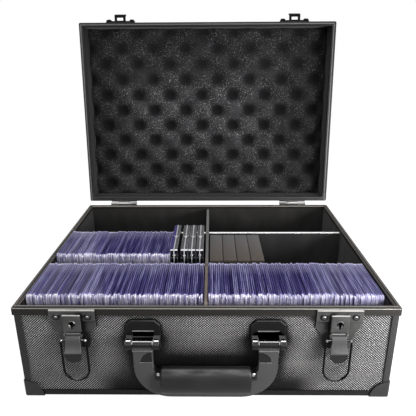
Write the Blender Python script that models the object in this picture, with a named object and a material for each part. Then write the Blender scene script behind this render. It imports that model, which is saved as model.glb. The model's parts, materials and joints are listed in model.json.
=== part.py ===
# A hinged carrying case that stores rigid card holders: a panelled base with bays,
# a foam-lined lid, two draw latches with locks, a swinging handle and its contents.
# The origin is the middle of the base's footprint, on the surface it stands on.
# +Z is up, +Y points to the hinges and +X to the right, seen from the latches.

import math

import bmesh
import bpy
from mathutils import Matrix, Vector

for leftover in list(bpy.data.objects):
    bpy.data.objects.remove(leftover, do_unlink=True)

# Overall sizes, in metres; the depth follows from the card holders below
BOX_WIDTH = 0.420
BASE_HEIGHT = 0.119
LID_HEIGHT = 0.049
LID_OPEN_ANGLE = math.radians(95)
GAP = 0.0003
OVERRUN = 0.002
WELD = 0.00001

# Walls, from the outside in
RIM_OVERHANG = 0.0015
CAP_WALL = 0.0008
TRIM_WALL = 0.0010
PANEL_WALL = 0.0030
LINER_WALL = 0.0006
PAD_HEIGHT = 0.015

# Rims where base and lid meet
RIM_COVER = 0.0003
RIM_SKIRT = 0.0085
RIM_ROOF = 0.0040
RIM_CORNER = 0.0020
RIM_LEAST_ROUND = 0.0004
RIM_CHAMFER = 0.0005
TONGUE_INSET = 0.0026
TONGUE_WIDTH = 0.0014
TONGUE_HEIGHT = 0.0012

# Edge trims and corner caps
TRIM_FACE = 0.0075
TRIM_ROUND = 0.0012
CAP_REACH = 0.0225

# Bays and dividers
DIVIDER_WALL = 0.0040
DIVIDER_DROP = 0.0050
DIVIDER_ROOM = 0.0005

# Lid foam
FOAM_BACK = 0.0050
FOAM_WAVE = 0.0140
FOAM_PITCH = 0.0265

# Card holders that stand in the bays
HOLDER_WIDTH = 0.0762
HOLDER_HEIGHT = 0.1016
HOLDER_ROOM = 0.01693
HOLDER_PITCH = 0.0040
HOLDER_SLOT = 0.0007
HOLDER_SLOT_DEPTH = 0.0070
HOLDER_UNEVEN = 0.0010
ROW_END_GAP = 0.0015
ROW_SPARE = 0.0030
ROW_DIVIDER_GAP = 0.0010
ROW_FRONT_GAP = 0.0110
CASE_ROW_GAP = 0.0009

# Thick cases with magnetic lids
CASE_THICKNESS = 0.0094
CASE_EXTRA = 0.0033
CASE_HEIGHT = 0.1100
CASE_CORNER = 0.0050
CASE_FRAME = 0.0090
CASE_RECESS = 0.0012
CASE_GAPS = (0.0025, 0.0012, 0.0006, 0.0042)

# Loose foam spacers
SPACER_THICKNESS = 0.0180
SPACER_SPACING = 0.0005
SPACER_BACK_GAP = 0.0048
SPACER_FRONT_GAP = 0.00933
SPACER_COUNT = 4

# Hinges
HINGE_END = 0.060
HINGE_WIDTH = 0.045
HINGE_LEAF_WALL = 0.0012
HINGE_LEAF_REACH = 0.022
HINGE_RADIUS = 0.0035
HINGE_MIDDLE = 0.0204
HINGE_PIN_RADIUS = 0.0014

# Latch plates and locks
LATCH_PLACE_SHARE = 0.496
LATCH_PLATE_WALL = 0.0015
LATCH_LIP_WIDTH = 0.049
LATCH_LIP_RISE = 0.0080
LATCH_BAND_DROP = 0.0070
LATCH_PLATE_DROP = 0.042
RIVET_RADIUS = 0.0030
RIVET_RISE = 0.0008
RIVET_X = 0.0170
RIVET_DROP = 0.0085
LOCK_WIDTH = 0.0198
LOCK_HEIGHT = 0.0213
LOCK_DEPTH = 0.0055
LOCK_RISE = 0.0031
LOCK_ROUND = 0.0008
BARREL_RADIUS = 0.0038
BARREL_DEPTH = 0.0022
BARREL_PROUD = 0.0004
KEY_SLOT_WIDTH = 0.0012
KEY_SLOT_LENGTH = 0.0050
KEY_SLOT_DEPTH = 0.0015

# Latch levers and wire bails
LEVER_AXIS_DROP = 0.0045
LEVER_AXIS_OUT = 0.0040
LEVER_BOSS = 0.0024
LEVER_WIDTH = 0.0160
LEVER_FLARE = 0.0190
LEVER_WALL = 0.0018
LEVER_FLAT = 0.0060
LEVER_KICK = 0.0036
LEVER_KICK_HEIGHT = 0.0080
LEVER_TONGUE = 0.0115
LEVER_TONGUE_WALL = 0.0013
TRUNNION_RADIUS = 0.0012
TRUNNION_REACH = 0.0022
EAR_WALL = 0.0016
EAR_HALF = 0.0025
BAIL_AXIS_DROP = 0.0049
BAIL_AXIS_OUT = 0.0025
BAIL_BOSS = 0.0027
BAIL_WIRE = 0.0012
BAIL_SIDE_ROOM = 0.0029
BAIL_STUB = 0.0090
BAIL_BEND = 0.0024

# Keepers on the lid
KEEPER_WIDTH = 0.050
KEEPER_HEIGHT = 0.017
KEEPER_WALL = 0.0015
HOOK_WIDTH = 0.0180
HOOK_WALL = 0.0024
HOOK_LIFT = 0.0001
HOOK_ROOM = 0.0040
HOOK_LIP = 0.0055
HOOK_FLARE = 0.0020
HOOK_BAR = 0.0042
HOOK_WINDOW = 0.0104
HOOK_SILL = 0.0006
BAND_ROOM = 0.0007
WING_ROOM = 0.0006
WING_RISE = 0.0055
WING_HEIGHT = 0.0110
WING_SLANT = 0.0030

# Handle
HANDLE_X = 0.0685
BRACKET_WIDTH = 0.0375
BRACKET_WALL = 0.0020
BRACKET_FALL = 0.0075
BRACKET_RISE = 0.0245
BRACKET_DROP = 0.0110
BRACKET_CHAMFER = 0.006
BRACKET_WINDOW = 0.024
WINDOW_LOW = 0.004
WINDOW_HIGH = 0.0116
KNUCKLE_RADIUS = 0.0060
KNUCKLE_WIDTH = 0.0070
HANDLE_PIN_RADIUS = 0.0015
ARM_WIDTH = 0.0205
ARM_WALL = 0.0080
ARM_CLEARANCE = 0.0019
ARM_BARREL = 0.0044
HANDLE_FOOT = 0.0105
HANDLE_CORNER = 0.0400
SHOULDER_INSET = 0.0082
SHOULDER_RISE = 0.0330
SHOULDER_ROUND = 0.0050
POCKET_RADIUS = 0.0135
POCKET_DROP = 0.0015
POCKET_DEPTH = 0.0012
BAR_WALL = 0.0050
BAR_HEIGHT = 0.0220
GRIP_THICKNESS = 0.0200
GRIP_HEIGHT = 0.0333
GRIP_BACK_GAP = 0.0009
GRIP_FOOT = 0.0055

# Places worked out from the sizes above
HALF_WIDTH = BOX_WIDTH / 2
CAP_INSET = RIM_OVERHANG - GAP - CAP_WALL
PANEL_INSET = RIM_OVERHANG + TRIM_WALL + GAP
LINER_INSET = PANEL_INSET + PANEL_WALL + GAP
RIM_WIDTH = LINER_INSET + LINER_WALL + RIM_COVER
BAY_DEPTH = HOLDER_WIDTH + HOLDER_ROOM
BAY_HALF_Y = (3 * BAY_DEPTH + 2 * DIVIDER_WALL) / 2
HALF_DEPTH = BAY_HALF_Y + GAP + RIM_WIDTH
TRIM_FOOT = CAP_WALL + GAP
PANEL_FOOT = TRIM_FOOT + TRIM_WALL + GAP
PAD_FOOT = PANEL_FOOT + PANEL_WALL + GAP
BAY_FLOOR = PAD_FOOT + PAD_HEIGHT + GAP
BAY_HALF_X = HALF_WIDTH - RIM_WIDTH - GAP
DIVIDER_TOP = BASE_HEIGHT - DIVIDER_DROP
CROSS_Y = (BAY_DEPTH + DIVIDER_WALL) / 2
LID_FOOT = BASE_HEIGHT + GAP
LID_TOP = LID_FOOT + LID_HEIGHT
PANEL_FRONT = HALF_DEPTH - PANEL_INSET
CASE_WIDTH = HOLDER_WIDTH + CASE_EXTRA
CASES_END = DIVIDER_WALL / 2 + sum(CASE_GAPS) + len(CASE_GAPS) * CASE_THICKNESS
SPACER_WIDTH = BAY_DEPTH - SPACER_BACK_GAP - SPACER_FRONT_GAP
HINGE_X = HALF_WIDTH - HINGE_END
HINGE_AXIS_Y = HALF_DEPTH + GAP + HINGE_LEAF_WALL + GAP + HINGE_RADIUS
HINGE_AXIS_Z = BASE_HEIGHT + GAP / 2
SKIRT_FOOT = BASE_HEIGHT - RIM_SKIRT
PLATE_FACE = PANEL_FRONT + GAP + LATCH_PLATE_WALL
LIP_FACE = HALF_DEPTH + GAP + LATCH_PLATE_WALL
BAND_FOOT = SKIRT_FOOT - GAP - LATCH_BAND_DROP
LOCK_TOP = SKIRT_FOOT + LOCK_RISE
LOCK_FOOT = LOCK_TOP - LOCK_HEIGHT
BRACKET_END = HANDLE_X + BRACKET_WIDTH / 2
TRIM_END = HALF_WIDTH - RIM_OVERHANG - TRIM_FACE
LATCH_X = BRACKET_END + LATCH_PLACE_SHARE * (TRIM_END - BRACKET_END)
LEVER_AXIS = Vector((0, -(PLATE_FACE + LEVER_AXIS_OUT), LOCK_FOOT - LEVER_AXIS_DROP))
BAIL_AXIS = LEVER_AXIS - Vector((0, BAIL_AXIS_OUT, BAIL_AXIS_DROP))
LEVER_FRONT = BAIL_AXIS.y - BAIL_BOSS
BAIL_HALF = LEVER_WIDTH / 2 + GAP + EAR_WALL + BAIL_SIDE_ROOM + BAIL_WIRE
KEEPER_FOOT = LID_FOOT + RIM_SKIRT + GAP
HOOK_LEDGE = KEEPER_FOOT + HOOK_LIFT + HOOK_WALL
LOOP_ROOM = BAIL_HALF - BAIL_WIRE - GAP
LOOP_Z = HOOK_LEDGE - math.sqrt(LOOP_ROOM ** 2 - (HOOK_WIDTH / 2) ** 2)
BAIL_LENGTH = LOOP_Z + BAIL_HALF - BAIL_AXIS.z
ARM_BACK = PANEL_FRONT + GAP + BRACKET_WALL + ARM_CLEARANCE
HANDLE_AXIS_Z = SKIRT_FOOT - BRACKET_FALL - BRACKET_RISE
HANDLE_AXIS = Vector((0, -(ARM_BACK + ARM_WALL / 2), HANDLE_AXIS_Z))
ARM_INNER = HANDLE_X - ARM_WIDTH / 2
ARM_OUTER = HANDLE_X + ARM_WIDTH / 2
GRIP_HALF = ARM_INNER - SHOULDER_INSET


# Finishes
def finish(name, colour, roughness, metallic=0.0):
    """A material with one colour, roughness and metallic value."""
    material = bpy.data.materials.new(name)
    material.use_nodes = True
    shader = material.node_tree.nodes["Principled BSDF"]
    shader.inputs["Base Color"].default_value = (*colour, 1.0)
    shader.inputs["Roughness"].default_value = roughness
    shader.inputs["Metallic"].default_value = metallic
    material.diffuse_color = (*colour, 1.0)
    return material


# Mesh tools
def finished_mesh(shape):
    """Turns a bmesh into a mesh whose faces point outwards."""
    bmesh.ops.recalc_face_normals(shape, faces=shape.faces)
    mesh = bpy.data.meshes.new("shape")
    shape.to_mesh(mesh)
    shape.free()
    return mesh


def prism(outline, axis, start, end):
    """Pushes a closed outline along an axis; its points hold the other two coordinates."""
    first, second, third = {"X": (1, 2, 0), "Y": (0, 2, 1), "Z": (0, 1, 2)}[axis]
    shape = bmesh.new()
    rows = []
    for depth in (start, end):
        row = []
        for across, along in outline:
            point = [0.0, 0.0, 0.0]
            point[first] = across
            point[second] = along
            point[third] = depth
            row.append(shape.verts.new(point))
        rows.append(row)
    near, far = rows
    for index in range(len(outline)):
        after = (index + 1) % len(outline)
        shape.faces.new((near[index], near[after], far[after], far[index]))
    shape.faces.new(near)
    shape.faces.new(far)
    return finished_mesh(shape)


def block(low, high):
    """A plain box between two corners."""
    outline = [(low[0], low[1]), (high[0], low[1]), (high[0], high[1]), (low[0], high[1])]
    return prism(outline, "Z", low[2], high[2])


def arc(centre, radius, start, end, steps):
    """Points on an arc, with angles in degrees."""
    points = []
    for step in range(steps + 1):
        angle = math.radians(start + (end - start) * step / steps)
        points.append((centre[0] + radius * math.cos(angle), centre[1] + radius * math.sin(angle)))
    return points


def rod(axis, centre, radius, start, end, sides=16):
    """A straight round bar along an axis, centred on the other two coordinates."""
    return prism(arc(centre, radius, 0, 360 * (sides - 1) / sides, sides - 1), axis, start, end)


def combine(body, tool, operation):
    """Joins, cuts or intersects two meshes and returns the result."""
    base = bpy.data.objects.new("base", body)
    other = bpy.data.objects.new("other", tool)
    for item in (base, other):
        bpy.context.scene.collection.objects.link(item)
    step = base.modifiers.new("combine", "BOOLEAN")
    step.operation = operation
    step.solver = "EXACT"
    step.object = other
    graph = bpy.context.evaluated_depsgraph_get()
    result = bpy.data.meshes.new_from_object(base.evaluated_get(graph))
    for item in (base, other):
        bpy.data.objects.remove(item, do_unlink=True)
    return result


def union(body, *tools):
    """Joins meshes that overlap into one body."""
    for tool in tools:
        body = combine(body, tool, "UNION")
    return body


def cut(body, *tools):
    """Cuts one mesh by others."""
    for tool in tools:
        body = combine(body, tool, "DIFFERENCE")
    return body


def rounded(mesh, width, segments, chosen):
    """Rounds the edges that the chosen test picks."""
    shape = bmesh.new()
    shape.from_mesh(mesh)
    edges = [edge for edge in shape.edges if chosen(edge)]
    bmesh.ops.bevel(shape, geom=edges, offset=width, segments=segments, profile=0.5,
                    affect="EDGES", clamp_overlap=True)
    return finished_mesh(shape)


def moved(mesh, matrix):
    """Moves a mesh, and turns its faces back outwards after a mirroring."""
    mesh.transform(matrix)
    if matrix.determinant() < 0:
        mesh.flip_normals()
    return mesh


def tipped_over(mesh):
    """Turns a shape made foot down in the base's way into the closed lid's place."""
    return moved(mesh, Matrix.Translation((0, 0, LID_TOP)) @ Matrix.Scale(-1, 4, (0, 0, 1)))


def smoothed(mesh, angle=40):
    """Shades a round piece smooth between its sharp edges."""
    mesh.shade_smooth()
    mesh.set_sharp_from_angle(angle=math.radians(angle))
    return mesh


def ring(profile, corner_radius, corner_steps):
    """Sweeps a profile of (inset, height) points round the box's outline."""
    shape = bmesh.new()
    loops = []
    for side_x, side_y, turn in ((1, 1, 0), (-1, 1, 90), (-1, -1, 180), (1, -1, 270)):
        for step in range(corner_steps + 1):
            angle = math.radians(turn + 90 * step / max(corner_steps, 1))
            loop = []
            for inset, height in profile:
                radius = max(corner_radius - inset, RIM_LEAST_ROUND) if corner_steps else 0
                x = side_x * (HALF_WIDTH - inset - radius) + radius * math.cos(angle)
                y = side_y * (HALF_DEPTH - inset - radius) + radius * math.sin(angle)
                loop.append(shape.verts.new((x, y, height)))
            loops.append(loop)
    for index, loop in enumerate(loops):
        following = loops[(index + 1) % len(loops)]
        for place in range(len(profile)):
            after = (place + 1) % len(profile)
            shape.faces.new((loop[place], loop[after], following[after], following[place]))
    return finished_mesh(shape)


# Bodies that move, as empties on their joint axes
PIVOTS = {}


def moving_body(name, pivot, carrier=None, turn=0.0):
    """An empty on a joint's axis; the pieces of the body hang under it."""
    empty = bpy.data.objects.new(name, None)
    bpy.context.scene.collection.objects.link(empty)
    empty.location = pivot
    if carrier:
        empty.parent = carrier
        empty.location = pivot - PIVOTS[carrier.name]
    empty.rotation_euler.x = turn
    PIVOTS[empty.name] = pivot.copy()
    return empty


def piece(name, mesh, material, body=None):
    """Links a mesh as a named sub-part, under its body's empty where it moves."""
    mesh.materials.clear()
    mesh.materials.append(material)
    mesh.name = name
    item = bpy.data.objects.new(name, mesh)
    bpy.context.scene.collection.objects.link(item)
    if body:
        item.parent = body
        item.location = -PIVOTS[body.name]
    return item


# Base and lid shells
def panel_block(low_x, high_x, low_y, high_y, low_z, high_z):
    """A flat panel."""
    return block((low_x, low_y, low_z), (high_x, high_y, high_z))


def flat_panel():
    """The panel that closes a shell's foot; its middle lies flush with the trims round it."""
    half_x = HALF_WIDTH - PANEL_INSET
    half_y = HALF_DEPTH - PANEL_INSET
    board = panel_block(-half_x, half_x, -half_y, half_y, PANEL_FOOT, PANEL_FOOT + PANEL_WALL)
    reach = CAP_REACH + GAP
    lean = math.degrees(math.asin((RIM_OVERHANG + TRIM_FACE + GAP - CAP_INSET) / reach))
    corner = (HALF_WIDTH - CAP_INSET, HALF_DEPTH - CAP_INSET)
    quarter = arc(corner, reach, 270 - lean, 180 + lean, 6)
    outline = []
    for side_x, side_y in ((1, 1), (-1, 1), (-1, -1), (1, -1)):
        points = [(side_x * x, side_y * y) for x, y in quarter]
        outline += points if side_x == side_y else reversed(points)
    return union(board, prism(outline, "Z", TRIM_FOOT, PANEL_FOOT + PANEL_WALL / 2))


def shell_rim(height, mates):
    """The angle section that tops the walls, with a tongue or the groove that takes it."""
    if mates == "tongue":
        middle = [(TONGUE_INSET, height),
                  (TONGUE_INSET, height + TONGUE_HEIGHT),
                  (TONGUE_INSET + TONGUE_WIDTH, height + TONGUE_HEIGHT),
                  (TONGUE_INSET + TONGUE_WIDTH, height)]
    else:
        middle = [(TONGUE_INSET - GAP, height),
                  (TONGUE_INSET - GAP, height - TONGUE_HEIGHT - GAP),
                  (TONGUE_INSET + TONGUE_WIDTH + GAP, height - TONGUE_HEIGHT - GAP),
                  (TONGUE_INSET + TONGUE_WIDTH + GAP, height)]
    skirt_wall = RIM_OVERHANG - GAP
    profile = [(0, height - RIM_SKIRT), (0, height - RIM_CHAMFER), (RIM_CHAMFER, height)]
    profile += middle
    profile += [(RIM_WIDTH - RIM_CHAMFER, height), (RIM_WIDTH, height - RIM_CHAMFER),
                (RIM_WIDTH, height - RIM_ROOF), (skirt_wall, height - RIM_ROOF),
                (skirt_wall, height - RIM_SKIRT)]
    return ring(profile, RIM_CORNER, 2)


def edge_frame(height):
    """The angle trims along a shell's foot and corners, as one frame."""
    half_x = HALF_WIDTH - RIM_OVERHANG
    half_y = HALF_DEPTH - RIM_OVERHANG
    head = height - RIM_ROOF - GAP
    shell = block((-half_x, -half_y, TRIM_FOOT), (half_x, half_y, head))

    def outside(edge):
        """Foot edges and upright edges, but not those of the head."""
        return min(vert.co.z for vert in edge.verts) < head / 2

    shell = rounded(shell, TRIM_ROUND, 2, outside)
    inner_x = half_x - TRIM_WALL
    inner_y = half_y - TRIM_WALL
    room = block((-inner_x, -inner_y, TRIM_FOOT + TRIM_WALL), (inner_x, inner_y, head + OVERRUN))
    open_x = half_x - TRIM_FACE
    open_y = half_y - TRIM_FACE
    open_z = TRIM_FOOT + TRIM_FACE
    past_x = half_x + OVERRUN
    past_y = half_y + OVERRUN
    front_windows = block((-open_x, -past_y, open_z), (open_x, past_y, head + OVERRUN))
    side_windows = block((-past_x, -open_y, open_z), (past_x, open_y, head + OVERRUN))
    foot_window = block((-open_x, -open_y, TRIM_FOOT - OVERRUN), (open_x, open_y, head))
    return cut(shell, room, front_windows, side_windows, foot_window)


def meeting_at(inset):
    """A test for the edges that meet at the corner with this inset on all three axes."""
    corner = Vector((inset, inset, inset))

    def meets(edge):
        """Whether one end of the edge is the corner."""
        return min((vert.co - corner).length for vert in edge.verts) < GAP

    return meets


def corner_cap(side_x, side_y):
    """A three-sided cap over a foot corner, with quarter-round outlines."""
    reach = CAP_REACH + OVERRUN
    outer = block((0, 0, 0), (reach, reach, reach))

    outer = rounded(outer, TRIM_ROUND + GAP + CAP_WALL, 2, meeting_at(0))
    past = reach + OVERRUN
    inner = block((CAP_WALL, CAP_WALL, CAP_WALL), (past, past, past))
    inner = rounded(inner, TRIM_ROUND + GAP, 2, meeting_at(CAP_WALL))
    ball = bmesh.new()
    bmesh.ops.create_uvsphere(ball, u_segments=24, v_segments=12, radius=CAP_REACH)
    cap = cut(combine(outer, finished_mesh(ball), "INTERSECT"), inner)
    place = (-side_x * (HALF_WIDTH - CAP_INSET), -side_y * (HALF_DEPTH - CAP_INSET), 0)
    mirror = Matrix.Diagonal((side_x, side_y, 1, 1))
    return moved(cap, Matrix.Translation(place) @ mirror)


def cap_places():
    """Names and directions of the four caps of a shell."""
    return (("front_left", 1, 1), ("front_right", -1, 1), ("back_left", 1, -1), ("back_right", -1, -1))


def build_base():
    """Panels, rim, trims, caps, pad and liner of the base."""
    half_x = HALF_WIDTH - PANEL_INSET
    half_y = HALF_DEPTH - PANEL_INSET
    foot = PAD_FOOT
    head = BASE_HEIGHT - RIM_ROOF - GAP
    inner_y = half_y - PANEL_WALL - GAP
    piece("base_bottom_panel", flat_panel(), PANEL)
    front = panel_block(-half_x, half_x, -half_y, -half_y + PANEL_WALL, foot, head)
    piece("base_front_panel", front, PANEL)
    back = panel_block(-half_x, half_x, half_y - PANEL_WALL, half_y, foot, head)
    piece("base_back_panel", back, PANEL)
    left = panel_block(-half_x, -half_x + PANEL_WALL, -inner_y, inner_y, foot, head)
    piece("base_left_panel", left, PANEL)
    right = panel_block(half_x - PANEL_WALL, half_x, -inner_y, inner_y, foot, head)
    piece("base_right_panel", right, PANEL)
    piece("base_rim", shell_rim(BASE_HEIGHT, "tongue"), RIM_BLACK)
    piece("base_edge_frame", edge_frame(BASE_HEIGHT), TRIM_BLACK)
    for label, side_x, side_y in cap_places():
        piece("base_corner_cap_" + label, corner_cap(side_x, side_y), CAP_BLACK)
    pad_x = HALF_WIDTH - LINER_INSET - LINER_WALL - GAP
    pad_y = HALF_DEPTH - LINER_INSET - LINER_WALL - GAP
    pad = block((-pad_x, -pad_y, PAD_FOOT), (pad_x, pad_y, PAD_FOOT + PAD_HEIGHT))
    piece("base_floor_pad", pad, PAD_FOAM)
    liner = [(LINER_INSET, foot), (LINER_INSET, head),
             (LINER_INSET + LINER_WALL, head), (LINER_INSET + LINER_WALL, foot)]
    piece("base_liner", ring(liner, 0, 0), LINING)


def lid_walls():
    """The four walls of the lid, as one bent frame."""
    head = LID_HEIGHT - RIM_ROOF - GAP
    walls = [(PANEL_INSET, PAD_FOOT), (PANEL_INSET, head),
             (PANEL_INSET + PANEL_WALL, head), (PANEL_INSET + PANEL_WALL, PAD_FOOT)]
    return ring(walls, 0, 0)


def wavy_foam():
    """Egg-crate foam: peaks and hollows in a checkerboard on a flat back."""
    half_x = HALF_WIDTH - PANEL_INSET - PANEL_WALL - GAP
    half_y = HALF_DEPTH - PANEL_INSET - PANEL_WALL - GAP
    waves_x = round(2 * half_x / FOAM_PITCH)
    waves_y = round(2 * half_y / FOAM_PITCH)
    count_x = 2 * waves_x
    count_y = 2 * waves_y
    shape = bmesh.new()
    top = []
    for row in range(count_y + 1):
        line = []
        for column in range(count_x + 1):
            wave = math.cos(math.pi * column / 2) * math.cos(math.pi * row / 2)
            height = PAD_FOOT + FOAM_BACK + FOAM_WAVE * (1 + wave) / 2
            x = half_x * (2 * column / count_x - 1)
            y = half_y * (2 * row / count_y - 1)
            line.append(shape.verts.new((x, y, height)))
        top.append(line)
    for row in range(count_y):
        for column in range(count_x):
            near = top[row]
            far = top[row + 1]
            corners = (near[column], near[column + 1], far[column + 1], far[column])
            first = min(range(4), key=lambda index: abs(corners[index].co.z - PAD_FOOT - FOAM_BACK))
            turned = corners[first:] + corners[:first]
            shape.faces.new((turned[0], turned[1], turned[2]))
            shape.faces.new((turned[0], turned[2], turned[3]))
    rim = list(top[0]) + [line[-1] for line in top[1:]]
    rim += list(reversed(top[-1][:-1])) + [line[0] for line in reversed(top[1:-1])]
    foot = [shape.verts.new((vert.co.x, vert.co.y, PAD_FOOT)) for vert in rim]
    for index in range(len(rim)):
        after = (index + 1) % len(rim)
        shape.faces.new((rim[index], rim[after], foot[after], foot[index]))
    shape.faces.new(foot)
    return finished_mesh(shape)


def build_lid(lid):
    """Panel, walls, rim, trims, caps and foam of the lid."""
    piece("lid_top_panel", tipped_over(flat_panel()), PANEL, lid)
    piece("lid_wall_frame", tipped_over(lid_walls()), PANEL, lid)
    piece("lid_rim", tipped_over(shell_rim(LID_HEIGHT, "groove")), RIM_BLACK, lid)
    piece("lid_edge_frame", tipped_over(edge_frame(LID_HEIGHT)), TRIM_BLACK, lid)
    for label, side_x, side_y in cap_places():
        piece("lid_corner_cap_" + label, tipped_over(corner_cap(side_x, side_y)), CAP_BLACK, lid)
    piece("lid_foam", tipped_over(wavy_foam()), LID_FOAM, lid)


# Dividers
def long_divider():
    """The wall from front to back, notched from above where the others cross it."""
    split = (BAY_FLOOR + DIVIDER_TOP - GAP) / 2
    notch = DIVIDER_WALL / 2 + GAP
    end_y = BAY_HALF_Y - DIVIDER_ROOM
    outline = [(-end_y, BAY_FLOOR), (end_y, BAY_FLOOR), (end_y, DIVIDER_TOP)]
    for place in (CROSS_Y, -CROSS_Y):
        outline += [(place + notch, DIVIDER_TOP), (place + notch, split),
                    (place - notch, split), (place - notch, DIVIDER_TOP)]
    outline.append((-end_y, DIVIDER_TOP))
    return prism(outline, "X", -DIVIDER_WALL / 2, DIVIDER_WALL / 2)


def cross_divider(place):
    """A wall from side to side, notched from below over the long one."""
    split = (BAY_FLOOR + DIVIDER_TOP + GAP) / 2
    notch = DIVIDER_WALL / 2 + GAP
    end_x = BAY_HALF_X - DIVIDER_ROOM
    outline = [(-end_x, BAY_FLOOR), (-notch, BAY_FLOOR), (-notch, split), (notch, split),
               (notch, BAY_FLOOR), (end_x, BAY_FLOOR), (end_x, DIVIDER_TOP),
               (-end_x, DIVIDER_TOP)]
    return prism(outline, "Y", place - DIVIDER_WALL / 2, place + DIVIDER_WALL / 2)


def build_dividers():
    """The long divider, and the two across that ride on it."""
    long_body = moving_body("long_divider_axis", Vector((0, 0, BAY_FLOOR)))
    piece("divider_long", long_divider(), DIVIDER_GREY, long_body)
    for label, place in (("front", -CROSS_Y), ("rear", CROSS_Y)):
        pivot = Vector((0, place, BAY_FLOOR))
        cross_body = moving_body("cross_divider_" + label + "_axis", pivot, long_body)
        piece("divider_cross_" + label, cross_divider(place), DIVIDER_GREY, cross_body)


# Contents
def holder_row(start, end, front):
    """Card holders packed side by side, parted by slots at their tops."""
    count = round((end - start) / HOLDER_PITCH)
    pitch = (end - start) / count
    slot_foot = BAY_FLOOR + HOLDER_HEIGHT - HOLDER_SLOT_DEPTH
    outline = [(end, BAY_FLOOR), (start, BAY_FLOOR)]
    for index in range(count):
        low = start + pitch * index + (HOLDER_SLOT / 2 if index else 0)
        high = start + pitch * (index + 1) - (HOLDER_SLOT / 2 if index < count - 1 else 0)
        uneven = HOLDER_UNEVEN * (1 + math.sin(5 * index)) / 2
        top = BAY_FLOOR + HOLDER_HEIGHT - uneven
        outline += [(low, slot_foot)] if index else []
        outline += [(low, top), (high, top)]
        outline += [(high, slot_foot)] if index < count - 1 else []
    return prism(outline, "Y", front, front + HOLDER_WIDTH)


def magnetic_case(start, middle_y):
    """A thick clear case with cut corners and a recessed window on both faces."""
    low_y = middle_y - CASE_WIDTH / 2
    high_y = middle_y + CASE_WIDTH / 2
    top = BAY_FLOOR + CASE_HEIGHT
    outline = [(low_y, BAY_FLOOR), (high_y, BAY_FLOOR), (high_y, top - CASE_CORNER),
               (high_y - CASE_CORNER, top), (low_y + CASE_CORNER, top), (low_y, top - CASE_CORNER)]
    case = prism(outline, "X", start, start + CASE_THICKNESS)
    windows = []
    for low_x, high_x in ((start - OVERRUN, start + CASE_RECESS),
                          (start + CASE_THICKNESS - CASE_RECESS, start + CASE_THICKNESS + OVERRUN)):
        windows.append(block((low_x, low_y + CASE_FRAME, BAY_FLOOR + CASE_FRAME),
                             (high_x, high_y - CASE_FRAME, top - CASE_FRAME)))
    return cut(case, *windows)


def foam_spacer(start, high_y):
    """A plain foam block that stands as high as the dividers."""
    low = (start, high_y - SPACER_WIDTH, BAY_FLOOR)
    return block(low, (start + SPACER_THICKNESS, high_y, DIVIDER_TOP))


def build_contents():
    """Three rows of card holders, four magnetic cases and the foam spacers."""
    front_y = -BAY_HALF_Y + ROW_FRONT_GAP
    side_x = BAY_HALF_X - ROW_END_GAP
    near_x = DIVIDER_WALL / 2 + ROW_DIVIDER_GAP
    rows = (("front_left", -side_x, -near_x, front_y), ("front_right", near_x, side_x - ROW_SPARE, front_y),
            ("middle_left", -side_x, -CASES_END - CASE_ROW_GAP, -HOLDER_WIDTH / 2))
    for label, start, end, front in rows:
        pivot = Vector(((start + end) / 2, front + HOLDER_WIDTH / 2, BAY_FLOOR))
        row_body = moving_body("row_" + label + "_axis", pivot)
        piece("toploader_row_" + label, holder_row(start, end, front), CLEAR_VIOLET, row_body)
    start = -DIVIDER_WALL / 2
    for number, gap in enumerate(CASE_GAPS, 1):
        start -= gap + CASE_THICKNESS
        case_body = moving_body("case_%d_axis" % number, Vector((start, 0, BAY_FLOOR)))
        piece("magnetic_case_%d" % number, magnetic_case(start, 0), CLEAR_CASE, case_body)
    back_y = CROSS_Y - DIVIDER_WALL / 2 - SPACER_BACK_GAP
    start = near_x + ROW_DIVIDER_GAP
    for number in range(1, SPACER_COUNT + 1):
        spacer_body = moving_body("spacer_%d_axis" % number, Vector((start, back_y, BAY_FLOOR)))
        piece("foam_spacer_%d" % number, foam_spacer(start, back_y), SPACER_FOAM, spacer_body)
        start += SPACER_THICKNESS + SPACER_SPACING


# Hinges, made for the base and mirrored up for the lid
def hinge_leaf(centre_x, knuckles):
    """A leaf on the back panel that steps out over the rim to its knuckles."""
    half = HINGE_WIDTH / 2
    wall = HINGE_LEAF_WALL
    plate_y = PANEL_FRONT + GAP
    rim_y = HALF_DEPTH + GAP
    step_z = SKIRT_FOOT - GAP
    outline = [(plate_y, step_z - HINGE_LEAF_REACH), (plate_y + wall, step_z - HINGE_LEAF_REACH),
               (plate_y + wall, step_z - wall), (rim_y + wall, step_z - wall),
               (rim_y + wall, HINGE_AXIS_Z - HINGE_RADIUS / 2), (rim_y, HINGE_AXIS_Z - HINGE_RADIUS / 2),
               (rim_y, step_z), (plate_y, step_z)]
    leaf = prism(outline, "X", centre_x - half, centre_x + half)
    centre = (HINGE_AXIS_Y, HINGE_AXIS_Z)
    for low, high in knuckles:
        web_low = HINGE_AXIS_Z - HINGE_RADIUS
        web_foot = (rim_y + wall / 2, web_low + wall / 4)
        web = [web_foot, (HINGE_AXIS_Y, web_foot[1]), (HINGE_AXIS_Y, HINGE_AXIS_Z - GAP),
               (rim_y + wall / 2, HINGE_AXIS_Z - GAP)]
        leaf = union(leaf, prism(web, "X", centre_x + low, centre_x + high),
                     rod("X", centre, HINGE_RADIUS, centre_x + low, centre_x + high))
    bore = rod("X", centre, HINGE_PIN_RADIUS + GAP, centre_x - half - OVERRUN, centre_x + half + OVERRUN, 12)
    return smoothed(cut(leaf, bore))


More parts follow.
